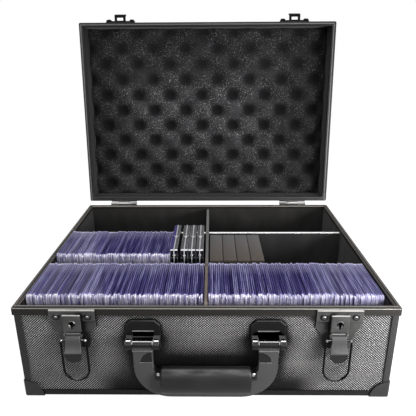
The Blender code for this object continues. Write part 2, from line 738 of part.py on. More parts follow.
def build_hinges(lid):
    """Two hinges: a base leaf, a lid leaf and a pin each."""
    half = HINGE_WIDTH / 2
    middle = HINGE_MIDDLE / 2
    outer_pair = ((-half, -middle - GAP), (middle + GAP, half))
    across = Matrix.Translation((0, 0, 2 * HINGE_AXIS_Z)) @ Matrix.Scale(-1, 4, (0, 0, 1))
    for label, side in (("left", -1), ("right", 1)):
        centre_x = side * HINGE_X
        piece("hinge_base_leaf_" + label, hinge_leaf(centre_x, outer_pair), HARDWARE)
        lid_leaf = moved(hinge_leaf(centre_x, ((-middle, middle),)), across)
        piece("hinge_lid_leaf_" + label, lid_leaf, HARDWARE, lid)
        pin = rod("X", (HINGE_AXIS_Y, HINGE_AXIS_Z), HINGE_PIN_RADIUS, centre_x - half, centre_x + half, 12)
        piece("hinge_pin_" + label, smoothed(pin), BRIGHT_METAL)


# Latches
def latch_plate(centre_x):
    """A shield-shaped plate with a thick band and lip over the rim, two rivets and two ears."""
    step_z = SKIRT_FOOT - GAP
    wall = LATCH_PLATE_WALL
    back_y = -(PANEL_FRONT + GAP)
    half = LATCH_LIP_WIDTH / 2
    drop_shares = (0.0, 0.35, 0.47, 0.58, 0.94, 1.0)
    width_shares = (1.0, 1.0, 0.82, 0.74, 0.65, 0.55)
    sides = []
    for drop, width in zip(drop_shares, width_shares):
        sides.append((half * width, step_z - LATCH_PLATE_DROP * drop))
    outline = [(centre_x + x, z) for x, z in sides] + [(centre_x - x, z) for x, z in reversed(sides)]
    plate = prism(outline, "Y", back_y, back_y - wall)
    lip_y = -(HALF_DEPTH + GAP)
    lip_top = SKIRT_FOOT + LATCH_LIP_RISE
    lip = [(back_y - wall / 4, BAND_FOOT), (lip_y, BAND_FOOT), (-LIP_FACE, BAND_FOOT + wall),
           (-LIP_FACE, lip_top), (lip_y, lip_top), (lip_y, step_z), (back_y - wall / 4, step_z)]
    plate = union(plate, prism(lip, "X", centre_x - half - GAP, centre_x + half + GAP))
    face_y = back_y - wall
    for side in (-1, 1):
        rivet = rod("Y", (centre_x + side * RIVET_X, lip_top - RIVET_DROP), RIVET_RADIUS,
                    wall / 2 - LIP_FACE, -(LIP_FACE + RIVET_RISE), 12)
        ear_low = LEVER_WIDTH / 2 + GAP
        ear_x = sorted((centre_x + side * ear_low, centre_x + side * (ear_low + EAR_WALL)))
        ear = block((ear_x[0], LEVER_AXIS.y - EAR_HALF, LEVER_AXIS.z - EAR_HALF),
                    (ear_x[1], face_y + wall / 2, LEVER_AXIS.z + EAR_HALF))
        plate = union(plate, rivet, ear)
    reach = LEVER_WIDTH / 2 + EAR_WALL + OVERRUN
    axis = (LEVER_AXIS.y, LEVER_AXIS.z)
    bore = rod("X", axis, TRUNNION_RADIUS + GAP, centre_x - reach, centre_x + reach, 12)
    return cut(plate, bore)


def lock_box(centre_x):
    """The raised box that holds the lock barrel, stepped at its back round the plate's band."""
    back_y = -(PLATE_FACE + GAP)
    upper_y = -(LIP_FACE + GAP)
    front_y = back_y - LOCK_DEPTH
    half = LOCK_WIDTH / 2
    side = [(back_y, LOCK_FOOT), (front_y, LOCK_FOOT), (front_y, LOCK_TOP), (upper_y, LOCK_TOP),
            (upper_y, BAND_FOOT - GAP), (back_y, BAND_FOOT - GAP)]
    box = prism(side, "X", centre_x - half, centre_x + half)

    def at_front(edge):
        """Edges of the front face."""
        return max(vert.co.y for vert in edge.verts) < (front_y + upper_y) / 2

    box = rounded(box, LOCK_ROUND, 2, at_front)
    well = rod("Y", (centre_x, (LOCK_FOOT + LOCK_TOP) / 2), BARREL_RADIUS + GAP,
               front_y + BARREL_DEPTH - BARREL_PROUD + GAP, front_y - OVERRUN, 20)
    return cut(box, well)


def lock_barrel(centre_x):
    """The turning barrel with its key slot."""
    front_y = -(PLATE_FACE + GAP) - LOCK_DEPTH - BARREL_PROUD
    centre_z = (LOCK_FOOT + LOCK_TOP) / 2
    barrel = rod("Y", (centre_x, centre_z), BARREL_RADIUS, front_y + BARREL_DEPTH, front_y, 20)
    slot = block((centre_x - KEY_SLOT_WIDTH / 2, front_y - OVERRUN, centre_z - KEY_SLOT_LENGTH / 2),
                 (centre_x + KEY_SLOT_WIDTH / 2, front_y + KEY_SLOT_DEPTH, centre_z + KEY_SLOT_LENGTH / 2))
    return smoothed(cut(barrel, slot))


def lever(centre_x):
    """The pull lever: a boss on its axis, a flat, and a rounded tongue that kicks out."""
    back_y = LEVER_FRONT + LEVER_WALL
    flat_foot = BAIL_AXIS.z - LEVER_FLAT
    kick_z = flat_foot - LEVER_KICK_HEIGHT
    tongue_z = kick_z - LEVER_TONGUE
    kick_y = LEVER_FRONT - LEVER_KICK
    axis = (LEVER_AXIS.y, LEVER_AXIS.z)
    pivot = (BAIL_AXIS.y, BAIL_AXIS.z)
    side = arc(axis, LEVER_BOSS, 150, -60, 8)
    side += arc(pivot, BAIL_BOSS, 0, -60, 3)
    side += [(back_y, BAIL_AXIS.z - BAIL_BOSS - LEVER_WALL), (back_y, flat_foot),
             (kick_y + LEVER_TONGUE_WALL, kick_z), (kick_y + LEVER_TONGUE_WALL + LEVER_KICK / 3, tongue_z),
             (kick_y + LEVER_KICK / 3, tongue_z), (kick_y, kick_z), (LEVER_FRONT, flat_foot),
             (LEVER_FRONT, BAIL_AXIS.z)]
    flare = LEVER_FLARE / 2
    body = prism(side, "X", centre_x - flare - OVERRUN, centre_x + flare + OVERRUN)
    top_z = LEVER_AXIS.z + LEVER_BOSS + OVERRUN
    front = [(centre_x + LEVER_WIDTH / 2, top_z), (centre_x - LEVER_WIDTH / 2, top_z),
             (centre_x - LEVER_WIDTH / 2, BAIL_AXIS.z)]
    front += arc((centre_x, tongue_z + flare), flare, 180, 360, 10)
    front += [(centre_x + LEVER_WIDTH / 2, BAIL_AXIS.z)]
    past = LEVER_AXIS.y + LEVER_BOSS + OVERRUN
    body = combine(body, prism(front, "Y", kick_y - OVERRUN, past), "INTERSECT")
    reach = LEVER_WIDTH / 2 + TRUNNION_REACH
    body = union(body, rod("X", axis, TRUNNION_RADIUS, centre_x - reach, centre_x + reach, 12))
    bore = rod("X", pivot, BAIL_WIRE + GAP, centre_x - flare - OVERRUN, centre_x + flare + OVERRUN, 12)
    return cut(body, bore)


def bail(centre_x):
    """A round wire bent into a loop, with both ends turned into the lever's bore."""
    bend = BAIL_BEND
    side = arc((BAIL_HALF - bend, BAIL_AXIS.z - bend), bend, 90, 0, 3)
    side = [(BAIL_HALF - BAIL_STUB, BAIL_AXIS.z)] + side
    foot = arc((0, BAIL_AXIS.z - BAIL_LENGTH + BAIL_HALF), BAIL_HALF, 0, -180, 12)
    route = side + foot + [(-x, z) for x, z in reversed(side)]
    curve = bpy.data.curves.new("bail", "CURVE")
    curve.dimensions = "3D"
    curve.bevel_depth = BAIL_WIRE
    curve.bevel_resolution = 2
    curve.use_fill_caps = True
    line = curve.splines.new("POLY")
    line.points.add(len(route) - 1)
    for point, (x, z) in zip(line.points, route):
        point.co = (centre_x + x, BAIL_AXIS.y, z, 1)
    wire = bpy.data.objects.new("wire", curve)
    bpy.context.scene.collection.objects.link(wire)
    graph = bpy.context.evaluated_depsgraph_get()
    mesh = bpy.data.meshes.new_from_object(wire.evaluated_get(graph))
    bpy.data.objects.remove(wire, do_unlink=True)
    shape = bmesh.new()
    shape.from_mesh(mesh)
    bmesh.ops.remove_doubles(shape, verts=shape.verts, dist=WELD)
    return smoothed(finished_mesh(shape), 60)


def keeper(centre_x):
    """A raised plate on the closed lid's front, with a pierced hook for the bail's end."""
    back_y = -(PANEL_FRONT + GAP)
    face_y = back_y - KEEPER_WALL
    half = KEEPER_WIDTH / 2
    ledge = HOOK_LEDGE
    plate = [(centre_x - half, KEEPER_FOOT), (centre_x + half, KEEPER_FOOT),
             (centre_x + half, KEEPER_FOOT + KEEPER_HEIGHT * 2 / 3),
             (centre_x + half * 3 / 4, KEEPER_FOOT + KEEPER_HEIGHT),
             (centre_x - half * 3 / 4, KEEPER_FOOT + KEEPER_HEIGHT),
             (centre_x - half, KEEPER_FOOT + KEEPER_HEIGHT * 2 / 3)]
    body = prism(plate, "Y", back_y, face_y)
    inner_y = BAIL_AXIS.y - BAIL_WIRE - HOOK_ROOM
    outer_y = inner_y - HOOK_WALL
    lip_z = ledge + HOOK_LIP
    hook = [(back_y - KEEPER_WALL / 2, ledge - HOOK_WALL), (outer_y, ledge - HOOK_WALL),
            (outer_y, ledge), (outer_y - HOOK_FLARE, lip_z), (inner_y - HOOK_FLARE, lip_z),
            (inner_y, ledge), (back_y - KEEPER_WALL / 2, ledge)]
    body = union(body, prism(hook, "X", centre_x - HOOK_WIDTH / 2, centre_x + HOOK_WIDTH / 2))
    wing_low = BAIL_HALF + BAIL_WIRE + WING_ROOM
    wing_y = -(HALF_DEPTH + WING_RISE)
    band_y = BAIL_AXIS.y + BAIL_WIRE + BAND_ROOM
    band = block((centre_x - wing_low - GAP, band_y, KEEPER_FOOT),
                 (centre_x + wing_low + GAP, back_y - KEEPER_WALL / 2, KEEPER_FOOT + WING_HEIGHT))
    window = block((centre_x - HOOK_WINDOW / 2, outer_y + HOOK_BAR, ledge - HOOK_WALL - OVERRUN),
                   (centre_x + HOOK_WINDOW / 2, band_y - HOOK_SILL, ledge + OVERRUN))
    body = cut(union(body, band), window)
    for side in (-1, 1):
        sides = [(wing_low, back_y - KEEPER_WALL / 2), (half, back_y - KEEPER_WALL / 2),
                 (half - WING_SLANT, wing_y), (wing_low, wing_y)]
        wing = prism([(centre_x + side * x, y) for x, y in sides], "Z",
                     KEEPER_FOOT, KEEPER_FOOT + WING_HEIGHT)
        rivet = rod("Y", (centre_x + side * (wing_low + half - WING_SLANT) / 2,
                          KEEPER_FOOT + WING_HEIGHT / 2), RIVET_RADIUS,
                    wing_y + RIVET_RISE, wing_y - RIVET_RISE, 12)
        body = union(body, wing, rivet)
    return body


def build_latches(lid):
    """Two latches, each with plate, lock, lever, bail and keeper."""
    for label, side in (("left", -1), ("right", 1)):
        centre_x = side * LATCH_X
        offset = Vector((centre_x, 0, 0))
        piece("latch_plate_" + label, latch_plate(centre_x), HARDWARE)
        piece("lock_box_" + label, lock_box(centre_x), HARDWARE)
        barrel_pivot = Vector((centre_x, -(PLATE_FACE + GAP), (LOCK_FOOT + LOCK_TOP) / 2))
        barrel_body = moving_body("lock_barrel_%s_axis" % label, barrel_pivot)
        piece("lock_barrel_" + label, lock_barrel(centre_x), BRIGHT_METAL, barrel_body)
        lever_body = moving_body("latch_lever_%s_axis" % label, LEVER_AXIS + offset)
        piece("latch_lever_" + label, lever(centre_x), HARDWARE, lever_body)
        bail_body = moving_body("latch_bail_%s_axis" % label, BAIL_AXIS + offset, lever_body)
        piece("latch_bail_" + label, bail(centre_x), BRIGHT_METAL, bail_body)
        piece("latch_keeper_" + label, keeper(centre_x), HARDWARE, lid)


# Handle
def handle_bracket(centre_x):
    """A plate with cut corners, a window and two knuckles for the pin."""
    back_y = -(PANEL_FRONT + GAP)
    face_y = back_y - BRACKET_WALL
    half = BRACKET_WIDTH / 2
    low_z = HANDLE_AXIS_Z - BRACKET_DROP
    top_z = HANDLE_AXIS_Z + BRACKET_RISE
    outline = [(centre_x - half, low_z), (centre_x + half, low_z),
               (centre_x + half, top_z - BRACKET_CHAMFER), (centre_x + half - BRACKET_CHAMFER, top_z),
               (centre_x - half + BRACKET_CHAMFER, top_z), (centre_x - half, top_z - BRACKET_CHAMFER)]
    body = prism(outline, "Y", back_y, face_y)
    window = block((centre_x - BRACKET_WINDOW / 2, face_y - OVERRUN, HANDLE_AXIS_Z + WINDOW_LOW),
                   (centre_x + BRACKET_WINDOW / 2, back_y + OVERRUN, HANDLE_AXIS_Z + WINDOW_HIGH))
    body = cut(body, window)
    centre = (HANDLE_AXIS.y, HANDLE_AXIS.z)
    reach = half - GAP
    for side in (-1, 1):
        low, high = sorted((centre_x + side * (reach - KNUCKLE_WIDTH), centre_x + side * reach))
        outline = arc(centre, KNUCKLE_RADIUS, 90, 270, 8)
        outline += [(face_y + BRACKET_WALL / 2, HANDLE_AXIS_Z - KNUCKLE_RADIUS),
                    (face_y + BRACKET_WALL / 2, HANDLE_AXIS_Z + KNUCKLE_RADIUS)]
        body = union(body, prism(outline, "X", low, high))
    past = half + OVERRUN
    bore = rod("X", centre, HANDLE_PIN_RADIUS + GAP, centre_x - past, centre_x + past, 12)
    return smoothed(cut(body, bore))


def handle_frame():
    """Two flat arms that sweep round into a thin foot strip, with the grip's bar between their shoulders."""
    centre = (HANDLE_AXIS.y, HANDLE_AXIS.z)
    shoulder_z = HANDLE_FOOT + SHOULDER_RISE
    corner = (ARM_OUTER - HANDLE_CORNER, HANDLE_FOOT + HANDLE_CORNER)
    bar_z = HANDLE_FOOT + GRIP_FOOT + GRIP_HEIGHT / 2
    arm_top = HANDLE_AXIS_Z - KNUCKLE_RADIUS - GAP
    barrel_half = BRACKET_WIDTH / 2 - GAP - KNUCKLE_WIDTH - GAP
    front_y = HANDLE_AXIS.y - ARM_WALL / 2
    back_y = HANDLE_AXIS.y + ARM_WALL / 2
    pocket_foot = arm_top - POCKET_DROP - POCKET_RADIUS
    strip_top = HANDLE_FOOT + GRIP_FOOT - GAP
    fillet = (ARM_INNER - SHOULDER_ROUND, shoulder_z + SHOULDER_ROUND)
    inner = [(ARM_INNER, arm_top)] + arc(fillet, SHOULDER_ROUND, 0, -90, 3)
    inner += [(GRIP_HALF, shoulder_z), (GRIP_HALF, strip_top)]
    outer = arc(corner, HANDLE_CORNER, -90, 0, 12) + [(ARM_OUTER, arm_top)]
    outline = inner + [(-x, z) for x, z in reversed(inner)]
    outline += [(-x, z) for x, z in reversed(outer)] + outer
    body = prism(outline, "Y", front_y, back_y)
    pocket_half = [(ARM_INNER - OVERRUN, pocket_foot)]
    pocket_half += arc((ARM_INNER, pocket_foot), POCKET_RADIUS, 0, 90, 5)
    pocket_half += [(ARM_INNER - OVERRUN, pocket_foot + POCKET_RADIUS)]
    for side in (-1, 1):
        low = side * HANDLE_X - barrel_half
        high = side * HANDLE_X + barrel_half
        neck = block((low, front_y + GAP, arm_top - OVERRUN), (high, back_y - GAP, HANDLE_AXIS_Z))
        body = union(body, neck, rod("X", centre, ARM_BARREL, low, high))
        pocket = prism([(side * x, z) for x, z in pocket_half], "Y",
                       front_y - OVERRUN, front_y + POCKET_DEPTH)
        body = cut(body, pocket)
    bar_reach = GRIP_HALF + SHOULDER_INSET / 2
    bar = block((-bar_reach, HANDLE_AXIS.y - BAR_WALL / 2, bar_z - BAR_HEIGHT / 2),
                (bar_reach, HANDLE_AXIS.y + BAR_WALL / 2, bar_z + BAR_HEIGHT / 2))
    body = union(body, bar)
    reach = ARM_OUTER + OVERRUN
    bore = rod("X", centre, HANDLE_PIN_RADIUS + GAP, -reach, reach, 12)
    return smoothed(cut(body, bore))


def handle_grip():
    """The oval sleeve round the handle's bar."""
    centre_y = -(PANEL_FRONT + GRIP_BACK_GAP + GRIP_THICKNESS / 2)
    centre_z = HANDLE_FOOT + GRIP_FOOT + GRIP_HEIGHT / 2
    outline = []
    for x, z in arc((0, 0), 1, 0, 345, 23):
        outline.append((centre_y + x * GRIP_THICKNESS / 2, centre_z + z * GRIP_HEIGHT / 2))
    half = GRIP_HALF - GAP
    sleeve = prism(outline, "X", -half, half)
    hole = block((-half - OVERRUN, HANDLE_AXIS.y - BAR_WALL / 2 - GAP, centre_z - BAR_HEIGHT / 2 - GAP),
                 (half + OVERRUN, HANDLE_AXIS.y + BAR_WALL / 2 + GAP, centre_z + BAR_HEIGHT / 2 + GAP))
    return smoothed(cut(sleeve, hole))


def build_handle():
    """Brackets and pins on the base, and the swinging frame with its grip."""
    handle = moving_body("handle_axis", HANDLE_AXIS)
    half = BRACKET_WIDTH / 2 - GAP
    for label, side in (("left", -1), ("right", 1)):
        centre_x = side * HANDLE_X
        piece("handle_bracket_" + label, handle_bracket(centre_x), HARDWARE)
        axis = (HANDLE_AXIS.y, HANDLE_AXIS.z)
        pin = rod("X", axis, HANDLE_PIN_RADIUS, centre_x - half, centre_x + half, 12)
        piece("handle_pin_" + label, smoothed(pin), BRIGHT_METAL)
    piece("handle_frame", handle_frame(), HANDLE_GREY, handle)
    piece("handle_grip", handle_grip(), GRIP_RUBBER, handle)


PANEL = finish("panel", (0.045, 0.045, 0.048), 0.45)
RIM_BLACK = finish("rim", (0.055, 0.055, 0.057), 0.35, 0.7)
TRIM_BLACK = finish("trim", (0.030, 0.030, 0.032), 0.40, 0.5)
CAP_BLACK = finish("cap", (0.040, 0.040, 0.042), 0.40, 0.5)
PAD_FOAM = finish("pad_foam", (0.030, 0.028, 0.027), 0.95)
LINING = finish("lining", (0.060, 0.052, 0.048), 0.90)
LID_FOAM = finish("lid_foam", (0.022, 0.022, 0.024), 0.95)
DIVIDER_GREY = finish("divider", (0.070, 0.065, 0.062), 0.85)
CLEAR_VIOLET = finish("clear_violet", (0.30, 0.30, 0.62), 0.15)
CLEAR_CASE = finish("clear_case", (0.72, 0.75, 0.82), 0.08)
SPACER_FOAM = finish("spacer_foam", (0.075, 0.062, 0.055), 0.95)
HARDWARE = finish("hardware", (0.035, 0.035, 0.037), 0.35, 0.8)
BRIGHT_METAL = finish("bright_metal", (0.45, 0.45, 0.46), 0.25, 1.0)
HANDLE_GREY = finish("handle", (0.060, 0.060, 0.062), 0.45)
GRIP_RUBBER = finish("grip", (0.040, 0.040, 0.042), 0.60)

LID_AXIS = Vector((0, HINGE_AXIS_Y, HINGE_AXIS_Z))
LID = moving_body("lid_axis", LID_AXIS, turn=-LID_OPEN_ANGLE)
build_base()
build_lid(LID)
build_dividers()
build_contents()
build_hinges(LID)
build_latches(LID)
build_handle()
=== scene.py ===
import json
import math
import random

import bmesh
import bpy
from mathutils import Matrix, Vector, noise


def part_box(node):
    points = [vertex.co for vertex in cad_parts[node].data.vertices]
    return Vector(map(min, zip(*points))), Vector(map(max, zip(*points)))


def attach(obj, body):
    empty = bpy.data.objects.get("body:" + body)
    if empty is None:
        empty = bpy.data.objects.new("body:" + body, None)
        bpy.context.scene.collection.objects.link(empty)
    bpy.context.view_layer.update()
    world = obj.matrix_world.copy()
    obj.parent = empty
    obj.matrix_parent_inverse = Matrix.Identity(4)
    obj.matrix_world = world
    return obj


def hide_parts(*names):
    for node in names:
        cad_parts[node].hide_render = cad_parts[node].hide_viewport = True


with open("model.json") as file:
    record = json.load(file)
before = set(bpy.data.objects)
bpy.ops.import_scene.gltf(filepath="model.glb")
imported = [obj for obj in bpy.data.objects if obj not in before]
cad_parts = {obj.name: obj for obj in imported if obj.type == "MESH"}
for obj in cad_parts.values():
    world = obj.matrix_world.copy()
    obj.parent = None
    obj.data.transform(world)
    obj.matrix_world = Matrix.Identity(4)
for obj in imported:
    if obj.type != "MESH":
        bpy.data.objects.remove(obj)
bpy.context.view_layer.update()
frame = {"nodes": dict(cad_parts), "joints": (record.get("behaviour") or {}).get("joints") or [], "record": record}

# The photograph's camera, fitted to the corners of the case
PHOTO_PX = 416
FOCAL_PX = 407.9
CENTRE_PX = Vector((207.3, 175.0))
CAMERA_PLACE = Vector((0.007, -0.524, 0.385))
CAMERA_YAW = math.radians(0.66)
CAMERA_PITCH = math.radians(17.31)
CAMERA_ROLL = math.radians(-0.31)
SENSOR = 36.0

# Stage
FLOOR_RADIUS = 6.0
FLOOR_SIDES = 96
FLOOR_DROP = 0.0005
FLOOR_NEAR = 0.45
FLOOR_FAR = 1.40
FLOOR_GLOW = 0.86
FLOOR_MIRRORED = 0.42
SKY_LIGHT = 0.22

# Softboxes: name, place, aim, size in metres and power in watts
SOFTBOXES = (
    ("top_light", (0.0, -0.15, 1.7), (0.0, 0.0, 0.1), 1.3, 18.0),
    ("front_light", (-0.2, -1.7, 0.9), (0.0, 0.1, 0.25), 1.2, 6.0),
    ("right_light", (0.52, -0.42, 0.20), (0.19, -0.15, 0.08), 0.22, 6.0),
)

# Panel pattern, and the heights and distances where a material changes
PANEL_DIAMOND = 0.0030
# NOOK_REACH and FITTING_REACH: how far the painted shade in nooks reaches
NOOK_REACH = 0.048
FITTING_REACH = 0.016
FOOT_FROM = 0.100
FOOT_TO = 0.135
FOOT_LOW = 0.018
FOOT_HIGH = 0.045
RIM_GROOVE = 0.0036
TRIM_REACH = 0.0100
LID_FOOT = 0.020
LID_LINE = 0.0030
LINE_HALF = 0.0012
LEVER_BEND = 0.42
SHOULDER_REACH = 0.0085
DIVIDER_HALF = 0.0022

# Depth of the fine relief in each material, and how far an edge with wear and a painted highlight reaches
FINE_GRAIN = 0.00002
PEEL_DEPTH = 0.00003
BRUSH_DEPTH = 0.00004
EMBOSS_DEPTH = 0.00045
NAP_DEPTH = 0.0002
SPACER_PITS = 0.0005
FOAM_PITS = 0.0009
PLATE_WEAR_AND_HIGHLIGHT = 0.0007
THIN_WEAR_AND_HIGHLIGHT = 0.0006
EDGE_SAMPLES = 6
NOOK_SAMPLES = 12

# Rounded edges, and the angles in degrees where one starts or smooth shading stops
PANEL_EDGE = 0.0004
RIM_EDGE = 0.0003
TRIM_EDGE = 0.0002
CAP_EDGE = 0.00025
HARDWARE_EDGE = 0.00035
LEAF_EDGE = 0.00021
HANDLE_EDGE = 0.0009
BOARD_EDGE = 0.0007
ROUNDED_FROM = 30
CAD_SMOOTHING = 35
TURNED_SMOOTHING = 32
WIRE_SMOOTHING = 60
PIN_SMOOTHING = 50
CLOTH_SMOOTHING = 50
FOAM_SMOOTHING = 70
BLOCK_SMOOTHING = 60
MERGE_DISTANCE = 1e-6
FLAT_ANGLE = 0.5
ROUND_SIDES = 24
KNUCKLE_SIDES = 32
GRIP_SIDES = 48

# Card holders
HOLDER_PITCH = 0.0024
HOLDER_WALL = 0.0021
HOLDER_MOUTH = 0.0010
HOLDER_MOUTH_DEPTH = 0.0040
HOLDER_WELD = 0.0026
HOLDER_CORNER = 0.0030
HOLDER_SLIP = 0.0010
HOLDER_UNEVEN = 0.0018
UNEVEN_POWER = 1.6
TONE_SCATTER = 0.66
TONE_DRIFT = 0.36
TONE_CUT = 0.02

# Magnetic cases
CASE_SPLIT = 0.0003
CASE_FRAME = 0.0068
CASE_RECESS = 0.0010
CASE_CORNER = 0.0013
CASE_EDGE = 0.0006
CASE_NOTCH = 0.0030
CASE_NOTCH_SHARE = 0.10
CASE_SKIN = 0.0004
SEAM_HALF = 0.0006
CLASP_RADIUS = 0.0015
CLASP_DROP = 0.0088
CATCH_RADIUS = 0.0018
MAGNET_RADIUS = 0.0022
MAGNET_HALF = 0.0030
MAGNET_INSET = 0.0062

# Foams and lining
FOAM_PITCH_X = 0.0278
FOAM_PITCH_Y = 0.0266
FOAM_SHIFT_X = 0.0030
FOAM_SHIFT_Y = 0.0061
FOAM_FLAT_FROM = 0.18
FOAM_FLAT_TO = 0.43
FOAM_SHALLOW = 0.55
FOAM_PEAK = 0.93
FOAM_ROUNDNESS = 0.75
FOAM_FLOOR = 0.02
FOAM_BACK = 0.0050
FOAM_STEP = 0.0022
FOAM_EDGE = 0.0060
FOAM_EDGE_SHARE = 0.82
FOAM_DRIFT = 0.0006
FOAM_DRIFT_SCALE = 160
SPACER_ROUND = 0.0012
PAD_ROUND = 0.0020
BLOCK_STEP = 0.0060
BLOCK_DRIFT_SCALE = 90
BLOCK_DRIFT_SHARE = 0.25
LINING_WALL = 0.0007
LINING_STEP = 0.0080
LINING_WAVE = 0.00025

# Fittings
RIVET_RADIUS = 0.0039
RIVET_RISE = 0.0012
RIVET_X = 0.0170
RIVET_DROP = 0.0085
LIP_PROUD = 0.0018
LIP_BAND = 0.0022
KEEPER_END = 0.0050
KEEPER_BAND_RISE = 0.0034
KEEPER_BAND_LOW = 0.0066
KEEPER_BAND_HIGH = 0.0108
BARREL_RADIUS = 0.0037
KEYHOLE_RADIUS = 0.0016
KEYHOLE_DROP = 0.0037
KEY_SLOT_DROP = 0.0058
KEY_SLOT_PROUD = 0.0002
BEAD_RADIUS = 0.0016
BEAD_INSET = 0.0022
KNUCKLE_RADIUS = 0.0061
KNUCKLE_WIDTH = 0.0073
SLEEVE_RADIUS = 0.0046
BRACKET_WALL = 0.0020
WINDOW_HALF = 0.0117
WINDOW_LOW = 0.0043
WINDOW_HIGH = 0.0113
WINDOW_DEPTH = 0.0009
WINDOW_BAR = 0.0013
WINDOW_BAR_PROUD = 0.0004

# Handle
ARM_WIDTH = 0.0205
ARM_WALL = 0.0080
KNUCKLE_DROP = 0.0063
POCKET_RADIUS = 0.0132
POCKET_DROP = 0.0018
POCKET_DEPTH = 0.0012
STUD_RADIUS = 0.0021
STUD_RISE = 0.0012
STUD_OUT = 0.0026
STUD_DROP = 0.0080
GRIP_ROUND = 0.00256
GRIP_END = 0.0009
DRAWN_IN_Y = 0.60
DRAWN_IN_Z = 0.45
CREASE_DEPTH = 0.045
CREASE_RISE = 0.22
CREASE_WIDTH = 0.14
EDGE_ROOM = 0.0005

SIDES = (("left", -1), ("right", 1))
JOINTS = {joint["name"]: joint for joint in frame["joints"]}
BODY_OF = {node: body for body, nodes in frame["record"]["behaviour"]["bodies"].items() for node in nodes}
chance = random.Random(11)


# Materials
def grey(level):
    """A neutral colour."""
    return (level, level, level)


def toned(colour, factor):
    """A colour made lighter or darker."""
    return tuple(factor * part for part in colour)


class Nodes:
    """Builds a node tree step by step."""

    def __init__(self, tree):
        """Starts on a tree."""
        self.tree = tree

    def feed(self, socket, value):
        """Links a socket, or sets its value."""
        if isinstance(value, bpy.types.NodeSocket):
            self.tree.links.new(value, socket)
        else:
            socket.default_value = value

    def add(self, kind, inputs=None, **settings):
        """Adds a node with settings and inputs."""
        node = self.tree.nodes.new("ShaderNode" + kind)
        for label, value in settings.items():
            setattr(node, label, value)
        for label, value in (inputs or {}).items():
            self.feed(node.inputs[label], value)
        return node

    def math(self, operation, *values):
        """One step of arithmetic."""
        return self.add("Math", dict(enumerate(values)), operation=operation).outputs[0]

    def times(self, first, second):
        """The product of two values."""
        return self.math("MULTIPLY", first, second)

    def less(self, first, second):
        """The first value less the second."""
        return self.math("SUBTRACT", first, second)

    def larger(self, first, second):
        """The larger of two values."""
        return self.math("MAXIMUM", first, second)


class Paint(Nodes):
    """A node material built round one Principled shader."""

    def __init__(self, name, **sockets):
        """Starts the material; socket names are written with underscores for spaces."""
        self.material = bpy.data.materials.new(name)
        self.material.use_nodes = True
        super().__init__(self.material.node_tree)
        self.shader = self.tree.nodes["Principled BSDF"]
        for label, value in sockets.items():
            self.shader.inputs[label.replace("_", " ")].default_value = value
        spots = self.add("TexCoord")
        self.place = spots.outputs["Object"]
        self.x, self.y, self.z = self.add("SeparateXYZ", {0: self.place}).outputs
        self.aside = self.math("ABSOLUTE", self.x)
        self.facing = list(self.add("SeparateXYZ", {0: spots.outputs["Normal"]}).outputs)
        self.upward = self.facing[2]

    def attribute(self, name):
        """A number stored on the mesh."""
        return self.add("Attribute", attribute_name=name).outputs["Fac"]

    def noise(self, scale, detail=2.0, vector=None):
        """Soft noise from 0 to 1."""
        inputs = {"Vector": vector or self.place, "Scale": scale, "Detail": detail}
        return self.add("TexNoise", inputs).outputs["Fac"]

    def streaks(self, scales, detail=3.0):
        """Soft noise with its own scale along each axis."""
        vector = self.add("Mapping", {"Vector": self.place, "Scale": scales}).outputs[0]
        return self.noise(1.0, detail, vector)

    def step(self, value, start, end, low=0.0, high=1.0):
        """A smooth rise or fall between two values."""
        inputs = {"Value": value, "From Min": start, "From Max": end, "To Min": low, "To Max": high}
        return self.add("MapRange", inputs, interpolation_type="SMOOTHSTEP").outputs["Result"]

    def band(self, value, outer_low, inner_low, inner_high, outer_high):
        """One between the inner values, falling smoothly to nought at the outer ones."""
        return self.times(self.step(value, outer_low, inner_low), self.step(value, outer_high, inner_high))

    def blend(self, factor, first, second):
        """A number between two others."""
        return self.add("Mix", {0: factor, 2: first, 3: second}).outputs[0]

    def mix(self, factor, first, second):
        """A colour between two others."""
        inputs = {0: factor, 6: self.shade(first), 7: self.shade(second)}
        return self.add("Mix", inputs, data_type="RGBA").outputs[2]

    def shade(self, colour):
        """A colour with its alpha, or a socket as it is."""
        return colour if isinstance(colour, bpy.types.NodeSocket) else (*colour, 1.0)

    def edge(self, reach, end, most=1.0):
        """How much an edge shows, rising to most where the rounded normal has left the flat one by end."""
        bevel = self.add("Bevel", {"Radius": reach}, samples=EDGE_SAMPLES).outputs[0]
        flat = self.add("NewGeometry").outputs["Normal"]
        bend = self.add("VectorMath", {0: bevel, 1: flat}, operation="DOT_PRODUCT").outputs["Value"]
        return self.step(self.less(1.0, bend), 0.01, end, 0.0, most)

    def nooks(self, reach, end, most):
        """How deep a place lies in a nook, rising to most where only a share of end is open."""
        open_sky = self.add("AmbientOcclusion", {"Distance": reach}, samples=NOOK_SAMPLES).outputs["AO"]
        return self.step(open_sky, 0.98, end, 0.0, most)

    def bump(self, height, distance, strength=1.0, under=None):
        """A normal pushed by a height in metres."""
        inputs = {"Height": height, "Distance": distance, "Strength": strength}
        if under:
            inputs["Normal"] = under
        return self.add("Bump", inputs).outputs[0]

    def set(self, colour=None, roughness=None, normal=None):
        """Feeds the shader and returns the material."""
        for label, value in (("Base Color", colour), ("Roughness", roughness), ("Normal", normal)):
            if value is not None:
                self.feed(self.shader.inputs[label], value)
        return self.material


